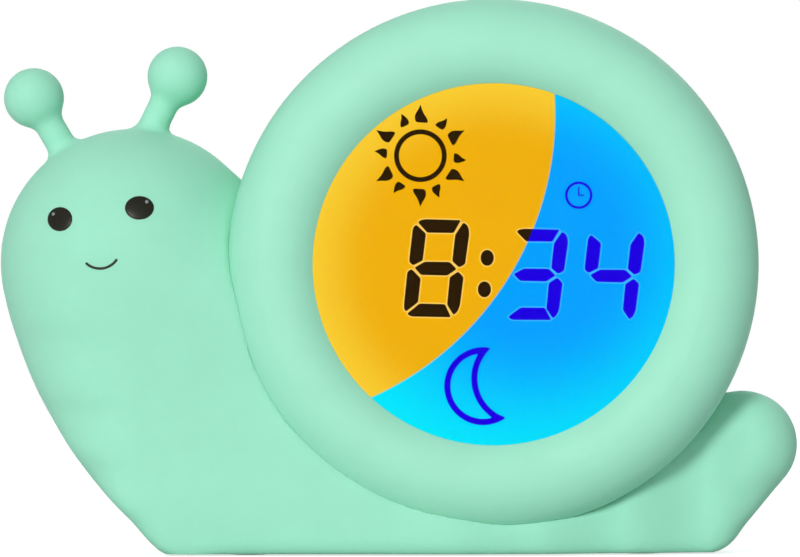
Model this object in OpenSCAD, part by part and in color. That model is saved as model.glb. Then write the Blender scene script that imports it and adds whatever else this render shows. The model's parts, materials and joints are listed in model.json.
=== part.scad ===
// Kids alarm clock with a night light, in the shape of a snail.
// +X is the tail end, -Y is the display side and +Z is up. The origin is under the middle, on the table.
// The shell is a drum that lies along Y. Its pieces are drawn facing the viewer, in face_on():
// X to the right, Y up and Z forward, measured from the middle of the drum.

/* [Shell] */
// Radius of the shell drum
shell_r = 52.4; // [50:0.2:56]
// Depth of the shell from its rear panel to the crest of its front ring
shell_depth = 60; // [58:1:66]
// Wall of the shell mouldings
shell_wall = 2.4; // [1.8:0.1:3]
// Radius of the ring's rolled front edge
ring_roll = 10; // [8:0.5:11]
// Radius of the rear cover's rounded edge
rear_roll = 8; // [5:0.5:9]
// How far the dished rim drops from the crest to the window
rim_drop = 2.7; // [1.5:0.1:4]
// Depth of the rim's inner edge in front of the lens
rim_edge = 2.1; // [1.2:0.1:3]
// Height of the shell's axis over the table
shell_z = 57.5; // [57:0.5:60]
// Distance of the shell's axis from the middle, toward the tail
shell_x = 18.7; // [16:0.5:20]
// Distance of the seam ahead of the drum's middle
seam_ahead = 6; // [3:0.5:7]
// Length of the lip that the rear cover puts into the front ring
seam_lip = 3; // [2:0.5:4]

/* [Display] */
// Radius of the display window
window_r = 35.6; // [34:0.2:36.4]
// How far the lens reaches under the rim
lens_lap = 2; // [1.6:0.1:2.4]
// Thickness of the lens
lens_t = 1.6; // [1:0.1:2]
// Thickness of the foam gasket behind the lens
gasket_t = 0.4; // [0.3:0.1:0.8]
// Thickness of each LCD glass
glass_t = 0.7; // [0.5:0.1:1.1]
// Space between the two LCD glasses, which the segments fill
cell_gap = 0.1; // [0.1:0.05:0.2]
// Thickness of the coloured diffusers
diffuser_t = 1; // [0.8:0.1:1.6]
// Height of the digits
digit_h = 18.6; // [15:0.2:20]
// Width of a digit
digit_w = 10; // [8:0.2:10.8]
// Stroke of a digit
digit_stroke = 2.6; // [1.8:0.1:2.8]
// Radius of the curve that parts the amber from the blue
split_r = 61.3; // [60:0.1:64]
// Place of that curve's centre, left of the display's centre
split_left = 49.1; // [47:0.1:51]
// Place of that curve's centre, above the display's centre
split_up = 29.7; // [28:0.1:31]

/* [Light box] */
// Depth of the light box
box_depth = 11.7; // [10:0.1:12.4]
// Wall of the light box
box_wall = 1.4; // [1:0.1:1.8]
// Thickness of a circuit board
board_t = 1.6; // [1:0.1:2]
// Length of the posts that carry the main board behind the light box
post_long = 8; // [7:0.5:9]
// Radius of the main board
main_board_r = 37; // [36:0.5:37.5]

/* [Buttons] */
// Radius of a button cap
cap_r = 3.8; // [3:0.1:4.2]
// How far a button cap stands out of the rear panel
cap_proud = 1.5; // [0.8:0.1:2.5]
// Distance between two buttons
cap_pitch = 14; // [12.5:0.5:14.5]
// Height of the button row over the drum's middle
cap_row = 13; // [12.5:0.1:13.4]
// Travel of a button
cap_travel = 0.5; // [0.3:0.05:0.6]
// Width of a switch body
switch_w = 6; // [5:0.1:6.4]
// Height of a switch body
switch_high = 3.5; // [3:0.1:4]
// Radius of a switch plunger
plunger_r = 1.75; // [1.4:0.05:2]
// Travel of the slide switch
slide_travel = 3; // [2:0.5:3.5]

/* [Speaker and socket] */
// Radius of the speaker
speaker_r = 10; // [9:0.2:10.4]
// Height of the speaker over the drum's middle
speaker_up = 30.5; // [30:0.1:31]
// Radius of a hole in the speaker grille
grille_r = 0.9; // [0.6:0.05:1.1]
// Distance of the slide switch and the USB socket from the middle
port_out = 26; // [25:0.2:26.6]
// Height of the slide switch and the USB socket over the drum's middle
port_up = 29; // [28.4:0.1:29.6]
// Width of the USB socket
usb_w = 8.94; // [8.4:0.02:9.4]
// Height of the USB socket
usb_high = 3.26; // [2.8:0.02:3.6]

/* [Battery] */
// Radius of a cell
cell_r = 5.2; // [5:0.05:5.25]
// Length of a cell with its nub
cell_long = 44.5; // [43.5:0.1:45]
// Distance between the axes of two cells
cell_pitch = 10.9; // [10.7:0.05:11]
// Length of the battery bay inside
bay_long = 50; // [49:0.5:51]
// Wall of the battery tray
tray_wall = 1.4; // [1:0.1:1.6]
// Thickness of the battery door
door_t = 2; // [1.6:0.1:2.4]
// Radius of the door's hinge pins
hinge_pin_r = 0.9; // [0.7:0.05:1]
// Length of a hinge pin
hinge_pin_long = 2.4; // [1.6:0.1:2.8]

/* [Body] */
// Radius of the head
head_r = 26.6; // [25:0.2:28]
// Place of the head's centre, left of the middle
head_left = 52.9; // [52:0.2:55]
// Height of the head's centre
head_z = 58; // [56:0.5:60]
// Radius of the chest's curve
chest_r = 88.2; // [84:0.2:94]
// Lean of the line from the head to the centre of the chest's curve
chest_lean = 12.84; // [11:0.1:14]
// Half depth of the foot below the chest
foot_half = 26; // [25:0.5:26.5]
// Half depth of the foot below the shell
foot_mid_half = 25; // [20:0.5:26]
// Half depth of the foot at its tail end
foot_tail_half = 15; // [14.5:0.5:18]
// Radius of the foot's corners, seen from the front
corner_r = 8; // [6:0.5:10]
// Radius of the edge between the foot's front and its underside
foot_edge = 3; // [2:0.5:4]
// Radius of that edge at the tail end
tail_edge = 6; // [4:0.5:6.5]
// Place of the foot's tail corner, right of the middle
foot_right = 60.6; // [58:0.2:62]
// Radius of the tail
tail_r = 10.4; // [9:0.2:12]
// Place of the tail, right of the middle
tail_right = 69; // [67:0.2:70]
// Height of the tail
tail_z = 21.8; // [20:0.2:24]
// Half depth of the tail
tail_half = 14; // [12:0.5:16]
// Thickness of the soft skin
skin_t = 2.2; // [1.6:0.1:2.6]
// Radius of an antenna's ball
ball_r = 6; // [5:0.1:7]
// Radius of an antenna's stalk
stalk_r = 2.9; // [2.4:0.1:3.4]
// Thickness of the eyes and the mouth
face_t = 0.3; // [0.2:0.05:0.5]

/* [Base] */
// Thickness of the base plate's flange
base_t = 1.6; // [1.2:0.1:2]
// How far the skin's lip reaches under the flange
lip_lap = 2.5; // [1.5:0.1:3]
// Length of the opening in the skin's underside
opening_long = 92; // [86:0.5:94]
// Half width of that opening below the chest
opening_half = 19; // [17:0.5:19.5]
// Half width of that opening at the tail end
opening_tail_half = 9.2; // [8.8:0.2:9.6]
// Radius of a rubber foot
pad_r = 4.2; // [3.5:0.1:4.3]
// Thickness of a rubber foot
pad_t = 1.2; // [1:0.1:1.6]
// How far a rubber foot stands out of the base
pad_proud = 0.4; // [0.3:0.1:0.8]

/* [Fits] */
// Gap round pieces that sit still in a seat
seat_gap = 0.3; // [0.2:0.05:0.4]
// Gap between a pin or a screw and its hole
pin_gap = 0.05; // [0.02:0.01:0.1]
// Gap round a button or a lever that moves in a hole
slide_gap = 0.25; // [0.15:0.05:0.35]

/* [Hidden] */
$fa = 4;
$fs = 0.5;
HULL_FN = 32;

// How far a cut runs past the face it opens, and a boss or rib into the wall it grows from
past = 1;
root = 0.5;
far = 200;

// Shell, forward of the drum's middle
front = shell_depth / 2;
rear = -shell_depth / 2;
shell_in = shell_r - shell_wall;
roll_c = shell_r - ring_roll;
slope_w = roll_c - window_r;
slope_r = (slope_w * slope_w + rim_drop * rim_drop) / (2 * rim_drop);
slope_start = 3;
panel_in = rear + shell_wall;
lip_gap = 0.1;
lip_t = 1.3;
lip_root = 3;
seat_f = front - rim_drop - rim_edge;

// Display stack, front to back
lens_r = window_r + lens_lap;
pocket_r = lens_r + seat_gap;
rib_t = 1.5;
rib_r = pocket_r + rib_t;
lens_back = seat_f - lens_t;
gasket_back = lens_back - gasket_t;
front_glass_back = gasket_back - glass_t;
cell_back = front_glass_back - cell_gap;
rear_glass_back = cell_back - glass_t;
box_front = rear_glass_back - diffuser_t;
glass_inset = 0.2;
glass_r = lens_r - glass_inset;
gasket_inset = 0.1;
rear_glass_low = window_r + 0.2;
box_r = lens_r;
box_in = box_r - box_wall;
box_back = box_front - box_depth;
lug_drop = 0.7;
lug_front = box_front - lug_drop;
lug_t = 1.6;
divider_t = 1.2;
floor_t = 1.4;
floor_in = 3.6;
diffuser_gap = 0.1;

// Ribbon from the LCD to the main board
ribbon_t = 0.2;
ribbon_half = 8;
ribbon_foot = 3;
ribbon_inset = 0.8;
ribbon_room = 0.4;
ribbon_tuck = 0.35;
ribbon_low = glass_r - ribbon_inset;
ribbon_notch = ribbon_low - ribbon_t - ribbon_room;
notch_t = 1.2;

// Boards
led_t = 1.2;
main_front = box_back - post_long;
main_back = main_front - board_t;
post_r = 2.4;
post_inset = 3;
post_ring = main_board_r - post_inset;
post_angles = [90, 210, 330];
led_board_inset = 1.6;
led_board_r = box_r - led_board_inset;
led_screw_inset = 3.8;
led_screw_ring = led_board_r - led_screw_inset;
led_screw_angles = [30, 150, 255];
led_boss_high = 4.4;
led_size = [3.5, 2.8];
led_high = 1.5;
led_lens_r = 1.2;
led_lens_high = 0.4;
led_from_split = 9;
split_at = [-split_left, split_up];
amber_places = [for (a = [-9, -22, -38, -53]) split_at + polar(split_r - led_from_split, a)];
blue_places = [for (a = [-13, -25, -37, -49]) split_at + polar(split_r + led_from_split, a)];

// Parts on the main board and the key board
chip_size = [12, 12];
chip_t = 1.5;
chip_at = [-12, 4];
capacitor_r = 2.5;
capacitor_high = 7;
capacitor_places = [[13, 2], [20, 2]];
crystal_r = 1.1;
crystal_long = 6;
crystal_at = [-24, -8];
lead_socket_size = [7, 5];
lead_socket_at = [14, -12];
speaker_socket_at = [-12.5, 24.5];
speaker_socket_t = 3;
ribbon_socket_size = [16, 3.2];
ribbon_at = [0, 22];
socket_t = 4;
key_ribbon_size = [14, 0.3];

// Screws
small_shank = 0.8;
small_head = 1.7;
small_head_t = 1.3;
small_long = 5;
led_screw_long = 4.2;
small_boss = 2.2;
loose_gap = 0.2;
long_shank = 1.2;
long_head = 2.3;
long_head_t = 1.8;
long_screw = 15;
long_boss = 3.4;
long_boss_front = 2.8;
head_room = 0.3;
driver_slot = 0.5;
driver_slot_share = 0.65;
lug_ring = (rib_r + shell_in) / 2;
lug_angles = [45, 135, 225, 315];
housing_out = 1.8;
housing_ring = rib_r + housing_out;
housing_angles = [20, 160, 250, 290];
housing_past_seam = 2;
housing_end = seam_ahead + housing_past_seam;
housing_floor = 10;
housing_bite = 7;

// Rear panel
button_count = 5;
buttons = [0 : button_count - 1];
cap_flange_out = 1.1;
cap_flange_r = cap_r + cap_flange_out;
cap_flange_t = 1;
cap_rest = 0.1;
cap_stem_out = 0.3;
key_room = 8.1;
key_back = panel_in + key_room;
key_front = key_back + board_t;
plunger_out = 1.5;
plunger_deep = 1.4;
plunger_gap = 0.1;
plunger_room = 0.4;
switch_top = key_back - switch_high;
plunger_end = switch_top - plunger_out;
key_side = 6.5;
key_half = port_out + key_side;
key_low = 5.4;
key_boss = 1.9;
key_over = 5;
key_high = port_up + key_over;
key_bosses = [[-29, 22.5], [29, 22.5], [-cap_pitch / 2, 7.6], [cap_pitch / 2, 7.6]];
slide_body = [9.4, 3.8, 4.5];
slide_lever = [3, 2, 9];
slide_slot = 1.6;
slide_floor = 0.2;
slide_room = [slide_lever[0] + slide_travel + 2 * slide_gap, slide_lever[1] + 2 * slide_gap];
lever_proud = 1.2;
usb_wall = 0.3;
usb_in = 0.7;
usb_back_t = 2.4;
tongue_t = 0.7;
tongue_side = 1.15;
tongue_in = 1;
tongue_gap = 0.01;
speaker_rim_t = 1.2;
speaker_rim_w = 1.4;
speaker_deep = 4;
speaker_collar = [1, 2.5];
magnet_share = 0.6;
magnet_r = magnet_share * speaker_r;
magnet_t = 2.4;
basket_t = 0.8;
coil_hole = 2.4;
sliver = 0.01;
cone_in = 0.5;
cone_t = 0.3;
cone_slope = 0.4;
cone_high = 1.6;
cone_r = [6, 2.2];
grille_pitch = 3.4;
grille_holes = concat([[0, 0]],
  [for (i = [0 : 5]) polar(grille_pitch, 60 * i)],
  [for (i = [0 : 11]) polar(2 * grille_pitch, 30 * i)]);

// Battery bay
door_in = rear + door_t;
bay_top = 0;
cell_count = 3;
cells = [0 : cell_count - 1];
bay_side = 0.15;
bay_high = cell_count * cell_pitch + 2 * bay_side;
door_room = 0.6;
cell_f = door_in + door_room + cell_r;
bay_floor = cell_f + cell_r + seat_gap;
tray_floor = 1.5;
tray_back = bay_floor + tray_floor;
tray_lug = 3;
tray_lug_t = 1.4;
tray_lug_short = 12;
tray_lug_drop = 2;
cell_rib = [30, 1.1];
cell_rib_f = 2.6;
door_over = [1.5, 1];
door_half = bay_long / 2 + door_over[0];
door_low = bay_top - bay_high - door_over[1];
barrel_r = 1.6;
hinge_f = rear + barrel_r;
hinge_y = bay_top + tray_wall + seat_gap + barrel_r;
door_top = hinge_y + barrel_r;
hinge_block = 3.2;
hinge_wall = 0.8;
barrel_room = 0.4;
tongue_half = 5;
tongue_long = 6.6;
tongue_low = door_low - tongue_long;
door_screw_r = 1.25;
door_screw_hole = 1.6;
door_screw_reach = 2.5;
door_screw_drop = 3.4;
door_screw_y = door_low - door_screw_drop;
door_head = 2.5;
door_head_t = 0.9;
door_head_deep = 1;
door_boss = [7, 6];
door_boss_drop = 0.4;
door_boss_wall = 1.4;
screw_room = 0.6;
spring_wire = 0.3;
spring_turns = 3;
spring_steps = 9;
spring_r = 3.4;
spring_taper = 1.2;
plate_t = 0.3;
plate_w = 8;
nub_r = 1.9;
nub_long = 1;
nub_end = bay_long / 2 - plate_t;
battery_lead_r = 0.55;
battery_lead_at = [22, -2];
battery_lead_gap = 1.2;
battery_lead_way = [[-2, -2, 2.5], [0, 3, -3.5]];
speaker_lead_r = 0.45;
speaker_lead_gap = 0.8;
speaker_lead_way = [2, -4];
lead_clear = 0.15;

// Body
head = [-head_left, head_z];
chest_c = head + (chest_r - head_r) * [cos(chest_lean), sin(chest_lean)];
mid_r = 24.8;
mid_turn = 25;
low_r = 23;
low_turn = 37;
saddle_r = 12;
saddle_edge = 6;
saddle_in = 11;
saddle_drop = 9;
saddle_over = 0.5;
tail_flat = 2;
foot_mid = 24;
least_edge = 0.4;
corner_left = chest_c[0] - sqrt(pow(chest_r - corner_r, 2) - pow(chest_c[1] - corner_r, 2));
left_ball = head + [-20, 32.8];
right_ball = head + [8.7, 37.1];
left_root = head + [-10, 15.6];
right_root = head + [-1, 17.3];
stalk_flare = 2;
flare_end = 0.35;
neck_start = 0.38;
neck_end = 0.8;
neck_share = 0.82;
core_t = 2;
core_gap = 0.3;
core_r = head_r - skin_t - core_gap;
post_base = [-30, 0];
post_top = [-50, 38];
neck_r = 7;
core_open = 18;
neck_sink = 6;
print_gap = 0.02;
left_eye = [2.5, 2.38];
left_eye_at = [-13.87, 8.4];
right_eye = [2.84, 2.32];
right_eye_at = [1.93, 10.6];
smile_r = 4.03;
smile_half = 0.25;
smile_at = [-5.8, 2.69];
smile_turn = [229, 324];

// Base
base_low = pad_proud;
drum_gap = 0.15;
plate_gap = 0.1;
flange_gap = 0.2;
lip_step = 0.3;
lip_top = skin_t - lip_step;
flange_low = lip_top + plate_gap;
base_top = flange_low + base_t;
opening_shift = 10.5;
opening_mid = shell_x - opening_shift;
opening_corner = 6;
base_screw_y = 9.5;
drum_boss_r = 3.4;
drum_boss_in = 6;
base_boss_r = 4.5;
base_boss_high = 12;
base_rib = [48, 3];
base_screw_under = base_low + long_head_t + loose_gap;
base_screw_long = shell_z - shell_r + drum_boss_in - base_screw_under;
boss_sink = 0.8;
pad_from_chest = [4, 3];
pad_from_tail = [2, 0.3];
pads_left = opening_mid - opening_long / 2 + pad_r + pad_from_chest[0];
pads_right = opening_mid + opening_long / 2 - pad_r - pad_from_tail[0];
pads_left_out = opening_half - pad_r - pad_from_chest[1];
pads_right_out = opening_tail_half - pad_r - pad_from_tail[1];
pad_places = [for (y = [-1, 1]) each [[pads_left, y * pads_left_out], [pads_right, y * pads_right_out]]];

// Lit bars of the digits: top, upper right, lower right, bottom, lower left, upper left, middle
THREE = "1111001";
FOUR = "0110011";
EIGHT = "1111111";

// Graphics of the display, from its centre
digit_lean = 0.1;
digit_slit = 0.2;
eight_at = [-11.2, -0.8];
three_at = [8.75, -1.95];
four_at = [23.9, -2.1];
colon_r = 1.4;
colon_places = [[-1.3, 1.3], [-1.9, -4.9]];
sun_at = [-14.3, 21.3];
sun_ring = [5.16, 4.15];
flames = 6;
long_flame = [6.4, 10.15, 2.5];
short_flame = [6.5, 9.2, 1.75];
moon_at = [-2, -24];
moon_r = 7.7;
moon_bite = 8.04;
moon_bite_at = [6.9, 1.5];
moon_line = 1.27;
icon_at = [16.8, 13.6];
icon_ring = [2.95, 2.45];
hand_w = 0.5;
hand_up = 1.65;
hand_out = 1.15;

// ---- Helpers ----

// Puts children that are drawn facing the viewer onto the drum's axis
module face_on() {
  translate([shell_x, 0, shell_z]) rotate([90, 0, 0]) children();
}

// A cylinder along the drum's axis, from one forward place to another
module disc(r, from, to, at = [0, 0]) {
  translate([at[0], at[1], min(from, to)]) cylinder(r = r, h = abs(to - from));
}

// A block from one forward place to another
module slab(size, from, to, at = [0, 0]) {
  translate([at[0] - size[0] / 2, at[1] - size[1] / 2, min(from, to)])
    cube([size[0], size[1], abs(to - from)]);
}

module ring(outer, inner, from, to, at = [0, 0]) {
  difference() {
    disc(outer, from, to, at);
    disc(inner, from - past, to + past, at);
  }
}

function polar(r, a) = [r * cos(a), r * sin(a)];

function button_at(i) = [(i - (button_count - 1) / 2) * cap_pitch, cap_row];

// Points along an arc, from one angle to another
function arc(centre, r, from, to, steps) =
  [for (i = [0 : steps]) centre + polar(r, from + (to - from) * i / steps)];

// Everything on the amber side of the split
module amber_side(grow = 0) {
  translate(split_at) circle(r = split_r + grow, $fn = 180);
}

// A screw whose head's underside is at the forward place given, pointing forward
module screw(at, under_head, shank, long, head_r, head_t) {
  slot_long = 2 * head_r * driver_slot_share;
  disc(shank, under_head, under_head + long, at);
  difference() {
    disc(head_r, under_head - head_t, under_head, at);
    for (size = [[slot_long, driver_slot], [driver_slot, slot_long]])
      slab(size, under_head - head_t - past, under_head - head_t / 2, at);
  }
}

// Everything under a height
module below(z) {
  translate([-far, -far, z - far]) cube([2 * far, 2 * far, far]);
}

// A cylinder on the drum's axis that reaches past both its ends
module through_drum(r) {
  face_on() disc(r, rear - past, front + past);
}

// A row of points joined by a round wire
module wire(points, r) {
  for (i = [0 : len(points) - 2])
    hull() {
      translate(points[i]) sphere(r = r, $fn = 6);
      translate(points[i + 1]) sphere(r = r, $fn = 6);
    }
}

// ---- Body ----

// A round slab that lies along Y, with a rounded edge
module puck(at, r, half, edge) {
  translate([at[0], 0, at[1]]) rotate([90, 0, 0]) rotate_extrude($fn = HULL_FN) intersection() {
    translate([0, -half]) square([r, 2 * half]);
    union() {
      translate([0, -half]) square([r - edge, 2 * half]);
      translate([0, edge - half]) square([r, 2 * (half - edge)]);
      for (side = [-1, 1])
        translate([r - edge, side * (half - edge)]) circle(r = edge, $fn = 24);
    }
  }
}

module ball(at, r, fn = HULL_FN) {
  translate([at[0], 0, at[1]]) sphere(r = r, $fn = fn);
}

// A point on the inside of the chest's curve, for a ball that touches the curve
function on_chest(r, a) = chest_c + (chest_r - r) * [cos(180 + a), sin(180 + a)];

// The body's outer form, drawn in by a distance
module body_form(inset) {
  hull() {
    ball(head, head_r - inset, 48);
    ball(on_chest(mid_r, mid_turn), mid_r - inset);
    ball(on_chest(low_r, low_turn), low_r - inset);
    foot_corner(inset);
    saddle(inset);
  }
  hull() {
    ball(on_chest(low_r, low_turn), low_r - inset);
    foot_corner(inset);
    saddle(inset);
    puck([foot_mid, corner_r], corner_r - inset, foot_mid_half - inset, foot_edge_in(inset));
    puck([foot_right, corner_r], corner_r - inset, foot_tail_half - inset, tail_edge - inset);
    puck([tail_right, tail_z], tail_r - inset, tail_half - inset, min(tail_r, tail_half) - inset - tail_flat);
  }
}

function foot_edge_in(inset) = max(foot_edge - inset, least_edge);

module foot_corner(inset) {
  puck([corner_left, corner_r], corner_r - inset, foot_half - inset, foot_edge_in(inset));
}

// Fills the body out to the shell, between the head and the foot
module saddle(inset) {
  puck([shell_x - shell_r + saddle_in, shell_z - saddle_drop], saddle_r - inset,
    foot_half + saddle_over - inset, saddle_edge - inset);
}

// The outside of the whole drum, grown by a gap
module drum_form(gap) {
  face_on() rotate_extrude($fn = 120) {
    translate([0, rear - gap]) square([shell_r - rear_roll, shell_depth + 2 * gap]);
    translate([0, rear + rear_roll])
      square([shell_r + gap, shell_depth - ring_roll - rear_roll]);
    translate([roll_c, front - ring_roll]) circle(r = ring_roll + gap, $fn = 64);
    translate([shell_r - rear_roll, rear + rear_roll]) circle(r = rear_roll + gap, $fn = 64);
  }
}

// A round rod or cone between two points seen from the front
module rod(from, to, r1, r2) {
  way = to - from;
  translate([from[0], 0, from[1]]) rotate([0, atan2(way[0], way[1]), 0])
    cylinder(r1 = r1, r2 = r2, h = norm(way));
}

module antenna(foot, tip) {
  way = tip - foot;
  rod(foot, tip, stalk_r, stalk_r);
  rod(foot, foot + flare_end * way, stalk_r + stalk_flare, stalk_r);
  rod(foot + neck_start * way, foot + neck_end * way, stalk_r, ball_r * neck_share);
  translate([tip[0], 0, tip[1]]) sphere(r = ball_r);
}

// Outline of the opening in the skin's underside, drawn out by a distance
module opening_outline(grow) {
  r = opening_corner + grow;
  x = opening_long / 2 - opening_corner;
  wide = opening_half - opening_corner;
  narrow = opening_tail_half - opening_corner;
  side = 90 - atan((wide - narrow) / (2 * x));
  translate([opening_mid, 0]) polygon(concat(
    arc([x, narrow], r, 0, side, 8),
    arc([-x, wide], r, side, 180, 8),
    arc([-x, -wide], r, 180, 360 - side, 8),
    arc([x, -narrow], r, 360 - side, 360, 8)));
}

module body_skin() {
  color("#a8ecd0") difference() {
    union() {
      body_form(0);
      antenna(left_root, left_ball);
      antenna(right_root, right_ball);
    }
    body_form(skin_t);
    drum_form(drum_gap);
    below(base_low);
    translate([0, 0, -past]) linear_extrude(corner_r) opening_outline(0);
    translate([0, 0, lip_top]) linear_extrude(base_top - lip_top + flange_gap)
      opening_outline(lip_lap + flange_gap);
  }
}

// The thin layer that a print on the head fills
module head_layer() {
  difference() {
    translate([head[0], 0, head[1]]) sphere(r = head_r + print_gap + face_t);
    translate([head[0], 0, head[1]]) sphere(r = head_r + print_gap);
  }
}

// A flat outline on the front of the head, at a place measured from the head's centre
module on_head(at) {
  translate([head[0] + at[0], 0, head[1] + at[1]]) rotate([90, 0, 0]) linear_extrude(2 * head_r)
    children();
}

module ellipse(half_w, half_h) {
  polygon([for (a = [0 : 10 : 350]) [half_w * cos(a), half_h * sin(a)]]);
}

module eyes() {
  color("#1d1512") intersection() {
    head_layer();
    union() {
      on_head(left_eye_at) ellipse(left_eye[0], left_eye[1]);
      on_head(right_eye_at) ellipse(right_eye[0], right_eye[1]);
    }
  }
}

module mouth() {
  from = smile_turn[0];
  to = smile_turn[1];
  color("#1d1512") intersection() {
    head_layer();
    on_head(smile_at) polygon(concat(
      arc([0, 0], smile_r + smile_half, from, to, 18),
      arc(polar(smile_r, to), smile_half, to, to + 180, 6),
      arc([0, 0], smile_r - smile_half, to, from, 18),
      arc(polar(smile_r, from), smile_half, from + 180, from + 360, 6)));
  }
}

// The rod from the base up into the head
module neck_rod(r) {
  rod([post_base[0], base_top - neck_sink], post_top, r, r);
}

module head_core() {
  color("#e8e8e2") difference() {
    union() {
      translate([head[0], 0, head[1]]) sphere(r = core_r);
      neck_rod(neck_r);
    }
    translate([head[0], 0, head[1]]) sphere(r = core_r - core_t);
    neck_rod(neck_r - core_t);
    through_drum(shell_r + core_gap);
    translate([head[0] + core_open, -far / 2, head[1] - core_r]) cube([far, far, 2 * core_r]);
    below(base_top);
  }
}

// ---- Base ----

module base_bosses() {
  for (y = [-1, 1]) {
    translate([shell_x, y * base_screw_y, flange_low]) cylinder(r = base_boss_r, h = base_boss_high);
    translate([shell_x - base_rib[0] / 2, y * base_screw_y - base_rib[1] / 2, flange_low])
      cube([base_rib[0], base_rib[1], base_boss_high]);
  }
}

module base_plate() {
  color("#8fd6bb") difference() {
    union() {
      translate([0, 0, base_low]) linear_extrude(flange_low - base_low) opening_outline(-flange_gap);
      translate([0, 0, flange_low]) linear_extrude(base_t) opening_outline(lip_lap);
      base_bosses();
    }
    through_drum(shell_r + plate_gap);
    for (at = pad_places) translate([at[0], at[1], -past])
      cylinder(r = pad_r + plate_gap, h = past + pad_t);
    for (y = [-1, 1]) translate([shell_x, y * base_screw_y, 0]) base_screw_hole();
  }
}

module base_screw_hole() {
  translate([0, 0, -past]) cylinder(r = long_head + head_room, h = past + base_screw_under);
  cylinder(r = long_shank + pin_gap, h = flange_low + base_boss_high + past);
}

module rubber_feet() {
  color("#f4f4f0") for (at = pad_places) translate([at[0], at[1], 0]) cylinder(r = pad_r, h = pad_t);
}

module base_screws() {
  color("#c9ccd0") for (y = [-1, 1])
    translate([shell_x, y * base_screw_y, base_screw_under])
      screw([0, 0], 0, long_shank, base_screw_long, long_head, long_head_t);
}

// ---- Shell ----

// Half section of the front ring: skirt, roll, dished rim, lens seat, rib and cavity
module ring_profile() {
  roll_at = [roll_c, front - ring_roll];
  cavity_r = ring_roll - shell_wall;
  polygon(concat(
    [[shell_r, seam_ahead]],
    arc(roll_at, ring_roll, 0, 90, 14),
    arc([roll_c, front - slope_r], slope_r, 90 + slope_start, 90 + asin(slope_w / slope_r), 7),
    [[window_r, seat_f], [pocket_r, seat_f], [pocket_r, lug_front], [rib_r, lug_front]],
    arc(roll_at, cavity_r, acos((rib_r - roll_c) / cavity_r), 0, 10),
    [[shell_in, seam_ahead]]));
}

// A boss inside the bottom of the drum for a base screw
module drum_boss(f) {
  translate([0, -shell_in - boss_sink, f]) rotate([-90, 0, 0])
    cylinder(r = drum_boss_r, h = drum_boss_in + boss_sink);
}

module drum_boss_hole(f) {
  translate([0, -shell_r - past, f]) rotate([-90, 0, 0])
    cylinder(r = long_shank + pin_gap, h = shell_wall + drum_boss_in);
}

module shell_front_ring() {
  boss_top = front - shell_wall + root;
  color("#a2e8cb") face_on() difference() {
    union() {
      rotate_extrude() ring_profile();
      for (a = lug_angles) disc(small_boss, lug_front, boss_top, polar(lug_ring, a));
      for (a = housing_angles) disc(long_boss_front, housing_end, boss_top, polar(housing_ring, a));
      drum_boss(base_screw_y);
    }
    for (a = lug_angles)
      disc(small_shank + pin_gap, lug_front - past, lug_front + small_long, polar(lug_ring, a));
    for (a = housing_angles)
      disc(long_shank + pin_gap, housing_end - past, housing_end + housing_bite,
        polar(housing_ring, a));
    drum_boss_hole(base_screw_y);
  }
}

module cover_profile() {
  difference() {
    union() {
      translate([0, rear]) square([shell_r - rear_roll, seam_ahead - rear]);
      translate([0, rear + rear_roll]) square([shell_r, seam_ahead - rear - rear_roll]);
      translate([shell_r - rear_roll, rear + rear_roll]) circle(r = rear_roll);
      translate([0, seam_ahead]) square([shell_in - lip_gap, seam_lip]);
    }
    translate([0, panel_in]) square([shell_r - rear_roll, shell_depth]);
    translate([0, rear + rear_roll]) square([shell_in - lip_t, shell_depth]);
    translate([shell_r - rear_roll, rear + rear_roll]) circle(r = rear_roll - shell_wall);
    translate([0, rear + rear_roll]) square([shell_in, seam_ahead - lip_root - rear - rear_roll]);
  }
}

module usb_outline(grow) {
  r = usb_high / 2 + grow;
  for (side = [-1, 1]) translate([side * (usb_w - usb_high) / 2, 0]) circle(r = r);
  translate([-(usb_w - usb_high) / 2, -r]) square([usb_w - usb_high, 2 * r]);
}

module shell_rear_cover() {
  color("#a2e8cb") face_on() difference() {
    union() {
      rotate_extrude() cover_profile();
      for (a = housing_angles) disc(long_boss, panel_in - root, housing_end, polar(housing_ring, a));
      for (at = key_bosses) disc(key_boss, panel_in - root, key_back, at);
      ring(speaker_r + seat_gap + speaker_collar[0], speaker_r + seat_gap, panel_in - root,
        panel_in + speaker_collar[1], [0, speaker_up]);
      for (side = [-1, 1])
        slab([hinge_block, 2 * (barrel_r + hinge_wall)], panel_in - root, hinge_f + barrel_r + hinge_wall,
          [side * (door_half + seat_gap + hinge_block / 2), hinge_y]);
      slab(door_boss, panel_in - root, door_in + door_screw_reach + door_boss_wall,
        [0, door_screw_y - door_boss_drop]);
      drum_boss(-base_screw_y);
    }
    for (a = housing_angles) {
      disc(long_head + head_room, rear - past, housing_end - housing_floor, polar(housing_ring, a));
      disc(long_shank + loose_gap, rear, housing_end + past, polar(housing_ring, a));
    }
    for (at = key_bosses)
      disc(small_shank + pin_gap, key_back - small_long, key_back + past, at);
    for (i = buttons) disc(cap_r + slide_gap, rear - past, panel_in + past, button_at(i));
    for (at = grille_holes) disc(grille_r, rear - past, panel_in + past, [at[0], speaker_up + at[1]]);
    slab(slide_room, rear - past, panel_in + past, [-port_out, port_up]);
    translate([port_out, port_up, rear - past]) linear_extrude(shell_wall + 2 * past) usb_outline(seat_gap);
    door_hole();
    translate([0, drum_boss_in - shell_in, base_screw_y]) rotate([90, 0, 0])
      cylinder(r = drum_boss_r + seat_gap, h = drum_boss_in + shell_wall / 2);
    drum_boss_hole(-base_screw_y);
  }
}

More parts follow.
